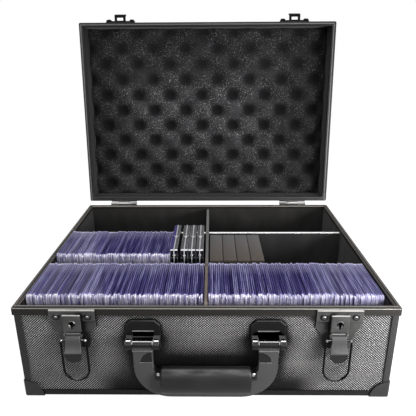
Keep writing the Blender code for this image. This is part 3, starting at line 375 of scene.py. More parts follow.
def embossed_panel():
    """Dark laminate with small diamonds pressed into it, with painted shade in the nooks round the fittings."""
    paint = Paint("embossed_panel", Specular_IOR_Level=0.2, Metallic=0.6)
    facing_x, facing_y, facing_z = [paint.math("ABSOLUTE", part) for part in paint.facing]
    sideways = paint.math("GREATER_THAN", facing_x, paint.larger(facing_y, facing_z))
    level = paint.math("GREATER_THAN", facing_z, paint.larger(facing_x, facing_y))
    across = paint.blend(sideways, paint.x, paint.y)
    along = paint.blend(level, paint.z, paint.y)
    turns = 2 * math.pi / PANEL_DIAMOND
    falling = paint.math("COSINE", paint.times(paint.math("ADD", across, along), turns))
    rising = paint.math("COSINE", paint.times(paint.less(across, along), turns))
    raised = paint.step(paint.math("ADD", falling, rising), -0.3, 1.4)
    patch = paint.step(paint.noise(14.0), 0.3, 0.7)
    ground = paint.mix(patch, grey(0.008), grey(0.014))
    crest = paint.mix(patch, grey(0.45), grey(0.58))
    # Painted shade: darker where the panel lies deep in a nook, eased low on its outer ends
    outer_foot = paint.times(paint.step(paint.aside, FOOT_FROM, FOOT_TO),
                             paint.step(paint.z, FOOT_HIGH, FOOT_LOW, 0.5, 0.85))
    nook_shade = paint.times(paint.nooks(NOOK_REACH, 0.77, 0.98), paint.less(1.0, outer_foot))
    shade = paint.mix(nook_shade, paint.mix(raised, ground, crest), grey(0.003))
    grain = paint.bump(paint.noise(3500.0), FINE_GRAIN, 0.5)
    return paint.set(shade, paint.step(raised, 0.0, 1.0, 0.55, 0.38),
                     paint.bump(raised, EMBOSS_DEPTH, 1.0, grain))


def brushed_black(name, face, top, roughness, metallic, groove_shade=False, lit_uprights=1.0):
    """Satin black section with fine lines along its length and its top painted paler as lit from above; on the
    rim, painted shade along each groove, and on the trim, its upright parts painted paler as lit.
    """
    paint = Paint(name, Metallic=metallic, Specular_IOR_Level=0.2)
    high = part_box("base_rim")[1]
    from_side = paint.less(high.x, paint.aside)
    from_end = paint.less(high.y, paint.math("ABSOLUTE", paint.y))
    side = paint.math("LESS_THAN", from_side, from_end)
    lines = paint.blend(side, paint.streaks((12.0, 2600.0, 2600.0)), paint.streaks((2600.0, 12.0, 2600.0)))
    line = paint.step(lines, 0.3, 0.8)
    body = paint.mix(line, face, toned(face, 1.7))
    # Painted light: the top colour for upward faces, as lit from above
    worn_and_lit = paint.mix(line, toned(top, 0.55), top)
    if groove_shade:
        # Painted light and shade: browner tops on the side rims, and dark lines along each groove
        worn_and_lit = paint.mix(side, worn_and_lit, paint.mix(line, (0.095, 0.084, 0.075), (0.230, 0.205, 0.185)))
        inward = paint.times(paint.math("MINIMUM", from_side, from_end), 2 * math.pi / RIM_GROOVE)
        ridge = paint.step(paint.math("COSINE", inward), 0.1, 0.8)
        worn_and_lit = paint.mix(ridge, (0.055, 0.052, 0.048), worn_and_lit)
    if lit_uprights > 1:
        # Painted light: the upright trims paler than the foot trim, as lit
        upright = paint.times(paint.step(from_side, TRIM_REACH * 1.2, TRIM_REACH),
                              paint.step(paint.z, TRIM_REACH, TRIM_REACH * 1.4))
        body = paint.mix(upright, body, toned(face, lit_uprights))
    shade = paint.mix(paint.step(paint.upward, 0.25, 0.75), body, worn_and_lit)
    return paint.set(shade, paint.step(lines, 0.2, 0.8, roughness, roughness + 0.14),
                     paint.bump(lines, BRUSH_DEPTH, 0.4))


def lid_rim_black():
    """Satin black lid section, greyer along its foot and black further in, with a thin pale line near its outer
    edge, a painted highlight.
    """
    paint = Paint("lid_rim_black", Metallic=0.25, Specular_IOR_Level=0.2)
    low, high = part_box("lid_rim")
    inward = paint.math("MINIMUM", paint.less(high.x, paint.aside), paint.less(high.z, paint.z))
    # Painted highlight: the thin pale line near the outer edge
    line = paint.band(inward, LID_LINE - LINE_HALF, LID_LINE - LINE_HALF / 2, LID_LINE + LINE_HALF / 2,
                      LID_LINE + LINE_HALF)
    brushed = paint.noise(900.0, 3.0)
    body = paint.mix(brushed, grey(0.008), grey(0.018))
    body = paint.mix(paint.step(inward, 2.2 * LID_LINE, 2.8 * LID_LINE), body, grey(0.002))
    foot = paint.mix(brushed, grey(0.030), grey(0.052))
    shade = paint.mix(paint.step(paint.z, low.z + LID_FOOT, low.z + 0.4 * LID_FOOT), body, foot)
    shade = paint.mix(line, shade, paint.mix(brushed, grey(0.11), grey(0.24)))
    return paint.set(shade, paint.step(brushed, 0.3, 0.7, 0.40, 0.52), paint.bump(brushed, PEEL_DEPTH, 0.4))


def plated_black(name, colour, worn_lit_colour, roughness, metallic=0.6, specular=0.4, nooks=False):
    """Black plated steel with faint smears, edges brighter from wear and a painted highlight, tops painted
    brighter as lit from above, and painted shade in the nooks where asked, deepest on the side towards the middle.
    """
    paint = Paint(name, Metallic=metallic, Specular_IOR_Level=specular)
    # Wear and painted highlight on the edges, painted light on the tops
    worn_edges_lit_tops = paint.larger(paint.edge(PLATE_WEAR_AND_HIGHLIGHT, 0.16, 0.50), paint.step(paint.upward, 0.3, 0.8))
    worn_and_lit = paint.times(worn_edges_lit_tops, paint.step(paint.noise(60.0), 0.2, 0.6, 0.5, 1.0))
    smear = paint.step(paint.noise(70.0, 3.0), 0.35, 0.7)
    shade = paint.mix(worn_and_lit, paint.mix(smear, colour, toned(colour, 1.3)), worn_lit_colour)
    if nooks:
        # Painted shade in the nooks, deepest on the side towards the middle of the case
        middle = JOINTS["latch_lever_right_swing"]["pos_m"][0]
        inner = paint.step(paint.aside, middle, middle - 0.6 * FITTING_REACH, 0.30, 1.0)
        shade = paint.mix(paint.times(inner, paint.nooks(FITTING_REACH, 0.72, 0.96)), shade, grey(0.002))
    return paint.set(shade, paint.step(smear, 0.0, 1.0, roughness, roughness + 0.10),
                     paint.bump(paint.noise(2200.0), FINE_GRAIN, 0.3))


def lever_black():
    """Black plated lever: a thin top edge painted bright as a highlight, paler down to its bend as a painted
    highlight where it bulges out, dark on its tongue, and edges brighter from wear and a painted highlight.
    """
    paint = Paint("lever_black", Metallic=0.5, Specular_IOR_Level=0.4)
    low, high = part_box("latch_lever_left")
    height = high.z - low.z
    bend = low.z + LEVER_BEND * height
    smear = paint.step(paint.noise(90.0, 3.0), 0.3, 0.7)
    # Painted highlight: paler down to the bend
    body = paint.mix(paint.step(paint.z, high.z - 0.25 * height, bend), grey(0.040), grey(0.150))
    body = paint.mix(0.55, paint.mix(smear, body, grey(0.030)), grey(0.10))
    shade = paint.mix(paint.step(paint.z, bend, bend - 0.06 * height), body, grey(0.012))
    # A dark band under the top edge, then the top edge painted bright as a highlight
    for drop, level in ((0.08, 0.016), (0.012, 0.60)):
        top = paint.step(paint.z, high.z - drop * height, high.z - drop / 2 * height)
        shade = paint.mix(top, shade, grey(level))
    # Edges brighter from wear and a painted highlight
    shade = paint.mix(paint.edge(THIN_WEAR_AND_HIGHLIGHT, 0.16, 0.45), shade, grey(0.50))
    return paint.set(shade, paint.step(smear, 0.0, 1.0, 0.34, 0.46))


def bright_metal(name, colour, roughness, glint=None, start=0.0, end=1.0):
    """Smoked nickel with faint scratches, and a painted highlight in the glint colour where it faces upward
    between start and end.
    """
    paint = Paint(name, Metallic=1.0)
    scratch = paint.streaks((900.0, 3200.0, 900.0))
    shade = paint.mix(paint.step(paint.noise(140.0), 0.3, 0.7), colour, toned(colour, 0.72))
    if glint:
        shade = paint.mix(paint.band(paint.upward, start, start + 0.08, end - 0.03, end), shade, glint)
    return paint.set(shade, paint.step(scratch, 0.3, 0.7, roughness, roughness + 0.12),
                     paint.bump(scratch, FINE_GRAIN, 0.3))


def foam(name, dark, light, cell, marks=None):
    """Open-cell foam with pits of cell size, and marks of its own where they are given."""
    paint = Paint(name, Roughness=0.95, Specular_IOR_Level=0.15)
    pits = paint.add("TexVoronoi", {"Vector": paint.place, "Scale": cell}).outputs["Distance"]
    cloud = paint.noise(cell / 14, 3.0)
    shade = paint.mix(paint.step(paint.math("ADD", pits, cloud), 0.45, 1.25), dark, light)
    if marks:
        shade = marks(paint, shade, dark, cell)
    return paint.set(shade, None, paint.bump(pits, FOAM_PITS, 0.8))


def lid_marks(paint, shade, dark, cell):
    """The lid's foam: cells painted bright as if catching the light, hollows painted dark as shade, and painted
    shade at its sides and ends and over its flat top.
    """
    # Painted highlight: bright cells
    glint = paint.times(paint.step(paint.noise(cell * 0.85, 1.0), 0.60, 0.70),
                        paint.step(paint.noise(cell / 25), 0.25, 0.50))
    shade = paint.mix(glint, shade, grey(0.30))
    low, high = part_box("lid_foam")
    height = high.z - low.z
    flat = paint.step(paint.z, high.z - FOAM_FLAT_TO * height, high.z - FOAM_FLAT_FROM * height)
    # Painted shade: darker hollows, less dark over the flat top
    hollow_shade = paint.mix(flat, toned(dark, 0.70), toned(dark, 1.4))
    shade = paint.mix(paint.step(paint.attribute("rise"), 0.10, 0.62), hollow_shade, shade)
    # Painted shade over the flat top, at the sides, the foot and the right
    painted_dimming = paint.times(flat, 0.40)
    for dim_part in (paint.step(paint.aside, high.x * 0.50, high.x * 0.95, 0.0, 0.62),
                 paint.step(paint.z, low.z + 0.50 * height, low.z + 0.10 * height, 0.0, 0.42),
                 paint.step(paint.x, high.x * 0.20, high.x * 0.90, 0.0, 0.70)):
        painted_dimming = paint.larger(painted_dimming, dim_part)
    return paint.mix(painted_dimming, shade, toned(dark, 0.25))


def spacer_foam():
    """Dense grey foam that turns browner towards the front of the case."""
    paint = Paint("spacer_foam", Roughness=0.95, Specular_IOR_Level=0.15)
    low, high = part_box("foam_spacer_1")
    pits = paint.noise(900.0, 3.0)
    back = paint.mix(pits, (0.070, 0.070, 0.071), grey(0.160))
    front = paint.mix(pits, (0.062, 0.052, 0.046), (0.135, 0.116, 0.106))
    shade = paint.mix(paint.step(paint.y, high.y, low.y), back, front)
    return paint.set(shade, None, paint.bump(pits, SPACER_PITS, 0.7))


def napped_cloth(name, dark, light, top_edge=None):
    """Short-nap cloth on board, with its top edge painted paler as lit from above where the function for its shade
    is given.
    """
    paint = Paint(name, Roughness=0.92, Specular_IOR_Level=0.2, Sheen_Weight=0.12, Sheen_Roughness=0.5)
    nap = paint.noise(2400.0)
    drift = paint.streaks((35.0, 35.0, 14.0))
    shade = paint.mix(paint.step(paint.math("ADD", nap, drift), 0.75, 1.25), dark, light)
    if top_edge:
        # Painted light: upward faces take the top edge colour, as lit from above
        shade = paint.mix(paint.step(paint.upward, 0.15, 0.5), shade, top_edge(paint))
    return paint.set(shade, None, paint.bump(nap, NAP_DEPTH, 0.5))


def long_edge(paint):
    """The long divider's top edge, painted paler as lit: patchy, grey at the back and brown towards the front."""
    back = (0.170, 0.170, 0.168)
    front = (0.300, 0.245, 0.215)
    along = paint.step(paint.y, -0.02, -0.07)
    # Dimmer patches of the painted light on the top edge
    worn_lit_colour = paint.mix(along, toned(back, 0.6), toned(front, 0.6))
    return paint.mix(paint.noise(160.0, 3.0), worn_lit_colour, paint.mix(along, back, front))


def cross_edge(paint):
    """The cross dividers' top edge, painted pale as lit, dull where the long divider crosses it."""
    crossed = paint.step(paint.aside, 1.6 * DIVIDER_HALF, 1.1 * DIVIDER_HALF)
    return paint.mix(crossed, grey(0.95), (0.120, 0.108, 0.100))


def holder_plastic():
    """Rigid clear plastic that stacks up to a deep violet blue, frosted at its welds, with painted white
    highlights on the frosted tops and painted shade on the frost towards the right.
    """
    paint = Paint("holder_plastic", Specular_IOR_Level=0.5, Coat_Weight=0.2, Coat_Roughness=0.1)
    frost = paint.attribute("frost")
    sheet = paint.streaks((900.0, 25.0, 60.0), 2.0)
    tone = paint.math("ADD", paint.attribute("tone"), paint.step(sheet, 0.3, 0.7, -0.32, 0.32))
    deep = paint.mix(paint.step(tone, 0.0, 0.50), (0.030, 0.025, 0.120), (0.110, 0.096, 0.300))
    shade = paint.mix(paint.step(tone, 0.50, 1.0), deep, (0.420, 0.410, 0.740))
    back = paint.times(paint.step(paint.attribute("along"), 0.55, 0.95),
                       paint.step(sheet, 0.25, 0.75, 0.50, 0.95))
    shade = paint.mix(back, shade, (0.420, 0.410, 0.640))
    fine = paint.math("ADD", paint.times(tone, 0.30), paint.streaks((750.0, 60.0, 110.0), 2.0))
    milky = paint.mix(paint.step(fine, 0.38, 0.90), (0.165, 0.150, 0.310), (0.720, 0.690, 0.850))
    # Painted highlight: white spots on upward frosted faces
    spots = paint.times(paint.step(paint.streaks((420.0, 420.0, 240.0), 1.0), 0.55, 0.65),
                        paint.step(paint.upward, 0.10, 0.45))
    milky = paint.mix(spots, milky, grey(0.960))
    # Painted shade: the frost darker towards the right
    milky = paint.mix(paint.step(paint.x, 0.03, 0.17, 0.0, 0.50), milky, (0.200, 0.195, 0.330))
    return paint.set(paint.mix(frost, shade, milky), paint.step(frost, 0.0, 1.0, 0.20, 0.35),
                     paint.bump(paint.noise(1500.0), FINE_GRAIN, 0.4))


def holder_gap():
    """The inside of a holder's mouth, painted dark as its shade."""
    paint = Paint("holder_gap", Roughness=0.3)
    return paint.set(paint.mix(paint.noise(200.0), (0.006, 0.006, 0.028), (0.022, 0.020, 0.075)))


def clear_acrylic(name, body):
    """Thick clear acrylic: end faces painted dark as shade, edges and tilted faces painted white as highlights,
    and faint cloudiness.
    """
    paint = Paint(name, Transmission_Weight=0.40, IOR=1.45, Specular_IOR_Level=0.6)
    cloudy = paint.noise(70.0)
    facing_y = paint.facing[1]
    body = paint.mix(cloudy, body, toned(body, 1.6))
    # Painted shade: dark end faces
    body = paint.mix(paint.step(facing_y, -0.6, -0.9), body, (0.010, 0.010, 0.014))
    # Painted highlight: white edges and tilted faces
    tilt = paint.step(paint.math("ABSOLUTE", paint.times(facing_y, paint.upward)), 0.20, 0.40)
    shade = paint.mix(paint.larger(paint.edge(THIN_WEAR_AND_HIGHLIGHT, 0.10), tilt), body, (0.95, 0.95, 0.98))
    return paint.set(shade, paint.step(cloudy, 0.3, 0.8, 0.05, 0.12))


def moulded_grey(name, dark, light, roughness, specular, marks=None):
    """Semi-gloss moulded surface with a soft orange peel, and marks of its own where they are given."""
    paint = Paint(name, Specular_IOR_Level=specular)
    cloud = paint.noise(38.0, 3.0)
    shade = paint.mix(cloud, dark, light)
    if marks:
        shade = marks(paint, shade)
    return paint.set(shade, paint.step(cloud, 0.3, 0.7, roughness, roughness + 0.10),
                     paint.bump(paint.noise(1300.0), PEEL_DEPTH, 0.35))


def arm_marks(paint, shade):
    """The handle's turned edges painted bright and more metallic as a highlight, and its dark shoulders beside the
    grip.
    """
    # Painted highlight: turned edges paler and more metallic
    turned = paint.band(paint.math("ABSOLUTE", paint.facing[1]), 0.10, 0.40, 0.80, 0.95)
    paint.feed(paint.shader.inputs["Metallic"], paint.times(turned, 0.8))
    low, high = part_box("handle_grip")
    height = high.z - low.z
    shoulder = paint.times(paint.step(paint.aside, high.x + SHOULDER_REACH, high.x + 0.6 * SHOULDER_REACH),
                           paint.step(paint.z, high.z - 0.55 * height, high.z - 0.40 * height))
    return paint.mix(shoulder, paint.mix(turned, shade, grey(0.88)), grey(0.006))


def grip_marks(paint, shade):
    """A patchy painted shine along the grip's top, and its dark ends."""
    shine = paint.times(paint.band(paint.upward, 0.45, 0.75, 0.86, 0.99),
                        paint.step(paint.streaks((45.0, 160.0, 160.0)), 0.30, 0.70))
    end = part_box("handle_grip")[1].x
    return paint.mix(paint.step(paint.aside, end - 2 * GRIP_END, end - GRIP_END),
                     paint.mix(shine, shade, grey(0.085)), grey(0.003))


def floor_white():
    """A pale matt floor that reads white, keeps the case's shadow and fades to white far off."""
    paint = Paint("floor_white", Roughness=0.9, Specular_IOR_Level=0.0)
    away = paint.math("SQRT", paint.math("ADD", paint.times(paint.x, paint.x), paint.times(paint.y, paint.y)))
    far = paint.step(away, FLOOR_NEAR, FLOOR_FAR)
    paint.set(paint.mix(far, paint.mix(paint.noise(3.0), grey(0.30), grey(0.31)), grey(0.02)))
    path = paint.add("LightPath").outputs
    mirrored = paint.times(path["Is Glossy Ray"], FLOOR_MIRRORED)
    seen = paint.larger(path["Is Camera Ray"], paint.larger(mirrored, path["Is Transmission Ray"]))
    strength = paint.times(seen, paint.step(far, 0.0, 1.0, FLOOR_GLOW, 1.0))
    glow = paint.add("Emission", {"Color": paint.shade(grey(1.0)), "Strength": strength})
    both = paint.add("AddShader", {0: paint.shader.outputs[0], 1: glow.outputs[0]})
    paint.feed(paint.tree.nodes["Material Output"].inputs["Surface"], both.outputs[0])
    return paint.material


PANEL = embossed_panel()
RIM = brushed_black("rim_black", (0.016, 0.0145, 0.013), (0.52, 0.50, 0.46), 0.38, 0.25, groove_shade=True)
LID_RIM = lid_rim_black()
TRIM = brushed_black("trim_black", grey(0.006), grey(0.014), 0.40, 0.15, lit_uprights=5.0)
CAP = moulded_grey("cap_black", grey(0.014), grey(0.030), 0.34, 0.3)
HARDWARE = plated_black("plated_black", (0.066, 0.066, 0.065), (0.62, 0.61, 0.59), 0.36, nooks=True)
LEVER = lever_black()
DARK_HARDWARE = plated_black("bracket_black", grey(0.005), grey(0.12), 0.38, 0.3, 0.2)
RIVET_BLACK = plated_black("rivet_black", grey(0.002), grey(0.10), 0.45, 0.1, 0.1)
KEEPER_BLACK = plated_black("keeper_black", grey(0.0015), grey(0.075), 0.55, 0.2, 0.1)
# The glint colours below are painted highlights along the upper sides of the bright metals
RIVET_DOME = bright_metal("rivet_dome", grey(0.085), 0.24, grey(0.62), 0.10, 0.75)
CHROME = bright_metal("dark_chrome", grey(0.040), 0.20, grey(0.62), 0.86, 0.985)
BARREL = bright_metal("barrel_chrome", grey(0.030), 0.20, grey(0.62), 0.88, 0.975)
NICKEL = bright_metal("smoked_nickel", (0.62, 0.62, 0.63), 0.16)
STEEL = bright_metal("dull_steel", grey(0.34), 0.28)
LIP_HIGHLIGHT = bright_metal("lip_highlight", (0.16, 0.16, 0.155), 0.36, (0.38, 0.37, 0.35), 0.05, 1.20)
KEY_RING = bright_metal("key_ring", grey(0.020), 0.34, grey(0.30), 0.12, 1.20)
WIRE = bright_metal("dark_wire", grey(0.012), 0.26, grey(0.34), 0.80, 1.10)
LID_FOAM = foam("lid_foam_charcoal", (0.010, 0.010, 0.011), (0.050, 0.050, 0.052), 700.0, lid_marks)
PAD_FOAM = foam("pad_foam_black", grey(0.010), (0.020, 0.019, 0.018), 900.0)
SPACER_FOAM = spacer_foam()
LINING = napped_cloth("lining_cloth", (0.015, 0.0145, 0.014), (0.030, 0.028, 0.027))
LID_LINING = napped_cloth("lid_wall_cloth", grey(0.004), grey(0.011))
LONG_DIVIDER = napped_cloth("long_divider_cloth", (0.020, 0.019, 0.018), (0.040, 0.037, 0.035), long_edge)
CROSS_DIVIDER = napped_cloth("cross_divider_cloth", grey(0.018), (0.036, 0.035, 0.034), cross_edge)
HOLDER = holder_plastic()
HOLDER_GAP = holder_gap()
ACRYLIC = clear_acrylic("clear_acrylic", (0.15, 0.15, 0.16))
VIOLET_ACRYLIC = clear_acrylic("violet_acrylic", (0.09, 0.08, 0.26))
SEAM = moulded_grey("case_seam", (0.38, 0.38, 0.40), (0.66, 0.66, 0.68), 0.3, 0.5)
WHITE_DOT = moulded_grey("case_dot", grey(0.88), grey(0.96), 0.3, 0.5)
HANDLE = moulded_grey("handle_grey", grey(0.044), grey(0.070), 0.40, 0.25, arm_marks)
GRIP = moulded_grey("grip_rubber", grey(0.006), grey(0.017), 0.34, 0.28, grip_marks)
POCKET_SHADE = moulded_grey("pocket_shade", grey(0.008), grey(0.022), 0.5, 0.1)
SHADOW_BLACK = moulded_grey("recess_shadow", grey(0.0006), grey(0.0015), 0.9, 0.0)


# Mesh tools
def mesh_of(name, shape):
    """Turns a bmesh into a mesh."""
    mesh = bpy.data.meshes.new(name)
    shape.to_mesh(mesh)
    shape.free()
    return mesh


def linked(name, data):
    """A new object in the scene."""
    made = bpy.data.objects.new(name, data)
    bpy.context.scene.collection.objects.link(made)
    return made


def piece(name, shape, material, node, stands_in=False, smoothing=None):
    """Makes a shown piece with the body of a CAD node, which it may stand in for."""
    mesh = mesh_of(name, shape)
    if smoothing:
        mesh.shade_smooth()
        mesh.set_sharp_from_angle(angle=math.radians(smoothing))
    for item in (material if isinstance(material, list) else [material]):
        mesh.materials.append(item)
    made = linked(name, mesh)
    if stands_in:
        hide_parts(node)
    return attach(made, BODY_OF[node])


def rounded(made, width, segments=2):
    """Adds rounded edges to a piece."""
    bevel = made.modifiers.new("rounded", "BEVEL")
    bevel.width = width
    bevel.segments = segments
    bevel.limit_method = "ANGLE"
    bevel.angle_limit = math.radians(ROUNDED_FROM)
    bevel.harden_normals = True
    return made


def dressed(node, material, width=0.0, segments=2, smoothing=CAD_SMOOTHING):
    """A finished copy of a CAD node, with rounded edges and smooth round faces."""
    shape = bmesh.new()
    shape.from_mesh(frame["nodes"][node].data)
    bmesh.ops.remove_doubles(shape, verts=shape.verts, dist=MERGE_DISTANCE)
    flat = math.radians(FLAT_ANGLE)
    bmesh.ops.dissolve_limit(shape, angle_limit=flat, verts=shape.verts, edges=shape.edges)
    made = piece(node + "_finish", shape, material, node, True, smoothing)
    return rounded(made, width, segments) if width else made


def between(first, second):
    """The corners of the faces between two rings."""
    count = len(first)
    return [(first[index], first[(index + 1) % count], second[(index + 1) % count], second[index])
            for index in range(count)]


def bridge(shape, rings):
    """Closes each ring of vertices onto the next."""
    for first, second in zip(rings, rings[1:]):
        for corners in between(first, second):
            shape.faces.new(corners)


def loft(rings):
    """A closed solid through rings of points; its last face is the last ring."""
    shape = bmesh.new()
    rings = [[shape.verts.new(point) for point in ring] for ring in rings]
    bridge(shape, rings)
    shape.faces.new(rings[0])
    shape.faces.new(rings[-1])
    bmesh.ops.recalc_face_normals(shape, faces=shape.faces)
    return shape


def block(size):
    """A cube scaled to a size, with its middle at the origin."""
    shape = bmesh.new()
    bmesh.ops.create_cube(shape, size=1.0)
    bmesh.ops.scale(shape, vec=size, verts=shape.verts)
    return shape


def flat_plate(outline, y_front, y_back):
    """A thin upright plate with an outline of (x, z) points."""
    return loft([[(x, y, z) for x, z in outline] for y in (y_front, y_back)])


def flat_strip(centre_x, half, z_low, z_high, y_front, y_back):
    """A thin upright rectangle."""
    left = centre_x - half
    right = centre_x + half
    return flat_plate([(left, z_low), (right, z_low), (right, z_high), (left, z_high)], y_front, y_back)


def upright_plate(outline, x_low, x_high):
    """A thin plate that faces sideways, with an outline of (y, z) points."""
    return loft([[(x, y, z) for y, z in outline] for x in (x_low, x_high)])


def turned_piece(name, profile, centre, axis, material, node, stands_in=False, sides=ROUND_SIDES):
    """A smooth piece turned from a profile of (radius, height) points about an axis through the centre."""
    angles = [2 * math.pi * index / sides for index in range(sides)]
    shape = loft([[(radius * math.cos(angle), radius * math.sin(angle), height) for angle in angles]
                  for radius, height in profile])
    turn = Vector((0, 0, 1)).rotation_difference(Vector(axis)).to_matrix().to_4x4()
    shape.transform(Matrix.Translation(centre) @ turn)
    return piece(name, shape, material, node, stands_in, TURNED_SMOOTHING)


def rod(name, radius, half, rounding, centre, material, node, sides=ROUND_SIDES):
    """A straight bar along x with rounded ends."""
    profile = [(radius - rounding, -half), (radius, rounding - half),
               (radius, half - rounding), (radius - rounding, half)]
    turned_piece(name, profile, centre, (1, 0, 0), material, node, sides=sides)


def corner_arc(across, up, radius, start, end, steps):
    """Points on an arc about a centre, with angles in degrees."""
    angles = [math.radians(start + (end - start) * step / steps) for step in range(steps + 1)]
    return [(across + radius * math.cos(angle), up + radius * math.sin(angle)) for angle in angles]


def lid_turn():
    """The turn that takes the closed lid to the place where the frame holds it open."""
    joint = JOINTS["lid_hinge"]
    pivot = Matrix.Translation(joint["pos_m"])
    angle = math.radians(joint["range_deg"][0])
    return pivot @ Matrix.Rotation(angle, 4, "X") @ pivot.inverted()


def closed_box(node):
    """The corners of a lid node as it lies with the lid closed."""
    back = lid_turn().inverted()
    points = [back @ vert.co for vert in frame["nodes"][node].data.vertices]
    return [Vector([pick(point[axis] for point in points) for axis in range(3)]) for pick in (min, max)]


# Shell
def dress_shell():
    """Panels, rims, trims and caps of the base and the lid, and the dividers."""
    for node in ("base_bottom_panel", "base_front_panel", "base_back_panel", "base_left_panel",
                 "base_right_panel", "lid_top_panel"):
        dressed(node, PANEL, PANEL_EDGE)
    cloth_inside(dressed("lid_wall_frame", [PANEL, LID_LINING], PANEL_EDGE))
    dressed("base_rim", RIM, RIM_EDGE)
    dressed("lid_rim", LID_RIM, RIM_EDGE)
    for node in ("base_edge_frame", "lid_edge_frame"):
        dressed(node, TRIM, TRIM_EDGE)
    for shell in ("base", "lid"):
        for corner in ("front_left", "front_right", "back_left", "back_right"):
            dressed(f"{shell}_corner_cap_{corner}", CAP, CAP_EDGE)
    dressed("divider_long", LONG_DIVIDER, BOARD_EDGE, 3)
    for node in ("divider_cross_front", "divider_cross_rear"):
        dressed(node, CROSS_DIVIDER, BOARD_EDGE, 3)


def cloth_inside(made):
    """Gives the inner faces of the lid's walls their second material."""
    low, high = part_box("lid_wall_frame")
    middle = (low + high) / 2
    for face in made.data.polygons:
        if (face.center - middle).dot(face.normal) < 0:
            face.material_index = 1


# Foams and lining
def soft_block(name, node, material, rounding):
    """A foam block with soft edges and faintly uneven faces, in its CAD node's place."""
    low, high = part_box(node)
    size = high - low
    middle = (low + high) / 2
    shape = block(size)
    bmesh.ops.bevel(shape, geom=shape.edges, offset=rounding, segments=3, profile=0.5, affect="EDGES")
    for axis in range(3):
        count = max(int(size[axis] / BLOCK_STEP), 1)
        normal = Vector([float(axis == other) for other in range(3)])
        for index in range(1, count):
            spot = normal * (size[axis] * (index / count - 0.5))
            geometry = shape.verts[:] + shape.edges[:] + shape.faces[:]
            bmesh.ops.bisect_plane(shape, geom=geometry, plane_co=spot, plane_no=normal)
    for vert in shape.verts:
        place = vert.co + middle
        inward = -vert.co.normalized()
        drift = 1 + noise.noise(place * BLOCK_DRIFT_SCALE)
        vert.co = place + inward * rounding * BLOCK_DRIFT_SHARE * drift
    piece(name, shape, material, node, True, BLOCK_SMOOTHING)


def egg_crate():
    """The lid's foam: rounded peaks and hollows that flatten where they meet the walls."""
    low, high = closed_box("lid_foam")
    size = high - low
    middle = (low + high) / 2
    columns = round(size.x / FOAM_STEP)
    rows = round(size.y / FOAM_STEP)
    depth = size.z - FOAM_BACK
    shape = bmesh.new()
    rises = shape.verts.layers.float.new("rise")
    grid = []
    for row in range(rows + 1):
        line = []
        for column in range(columns + 1):
            x = low.x + size.x * column / columns
            y = low.y + size.y * row / rows
            phase_x = math.pi * (x - middle.x - FOAM_SHIFT_X) / FOAM_PITCH_X
            phase_y = math.pi * (y - middle.y - FOAM_SHIFT_Y) / FOAM_PITCH_Y
            ripple = math.sin(phase_x) * math.sin(phase_y)
            sunk = (y - low.y) / size.y / FOAM_FLAT_TO
            wave = (1 + ripple * min(FOAM_SHALLOW + (1 - FOAM_SHALLOW) * sunk, 1.0)) / 2
            drift = FOAM_DRIFT * noise.noise(Vector((x, y, 1)) * FOAM_DRIFT_SCALE)
            reach = min(x - low.x, high.x - x, y - low.y, high.y - y) / FOAM_EDGE
            share = FOAM_EDGE_SHARE + (1 - FOAM_EDGE_SHARE) * min(reach, 1.0)
            rise = (depth * (FOAM_PEAK * wave ** FOAM_ROUNDNESS + FOAM_FLOOR) + drift) * share
            vert = shape.verts.new((x, y, high.z - FOAM_BACK - rise))
            vert[rises] = wave
            line.append(vert)
        grid.append(line)
    for near, far in zip(grid, grid[1:]):
        for column in range(columns):
            shape.faces.new((near[column], far[column], far[column + 1], near[column + 1]))
    rim = [edge for edge in shape.edges if edge.is_boundary]
    for item in bmesh.ops.extrude_edge_only(shape, edges=rim)["geom"]:
        if isinstance(item, bmesh.types.BMVert):
            item.co.z = high.z
    bmesh.ops.contextual_create(shape, geom=[edge for edge in shape.edges if edge.is_boundary])
    bmesh.ops.recalc_face_normals(shape, faces=shape.faces)
    shape.transform(lid_turn())
    piece("egg_crate_foam", shape, LID_FOAM, "lid_foam", True, FOAM_SMOOTHING)


def lining():
    """Cloth glued round the inside of the base, with faint ripples."""
    low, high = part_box("base_liner")
    corners = [Vector(spot) for spot in ((low.x, low.y), (high.x, low.y), (high.x, high.y), (low.x, high.y))]
    route = []
    for first, second in zip(corners, corners[1:] + corners[:1]):
        count = round((second - first).length / LINING_STEP)
        route += [first.lerp(second, index / count) for index in range(count)]
    rows = round((high.z - low.z) / LINING_STEP)
    heights = [low.z + (high.z - low.z) * row / rows for row in range(rows + 1)]
    shape = bmesh.new()
    outer = [[shape.verts.new((*spot, z)) for spot in route] for z in heights]
    inner = [[shape.verts.new(lining_face(spot, z, low, high)) for spot in route] for z in heights]
    bridge(shape, outer + inner[::-1] + outer[:1])
    bmesh.ops.recalc_face_normals(shape, faces=shape.faces)
    piece("wall_lining", shape, LINING, "base_liner", True, CLOTH_SMOOTHING)


def lining_face(spot, z, low, high):
    """The point of the cloth's inner face that lies opposite a spot on the wall."""
    middle = (low + high) / 2
    ripple = noise.noise(Vector((spot.x * 30, spot.y * 30, z * 12))) - 0.3
    inset = LINING_WALL + LINING_WAVE * ripple
    x = spot.x if low.x < spot.x < high.x else spot.x + math.copysign(inset, middle.x - spot.x)
    y = spot.y if low.y < spot.y < high.y else spot.y + math.copysign(inset, middle.y - spot.y)
    return (x, y, z)


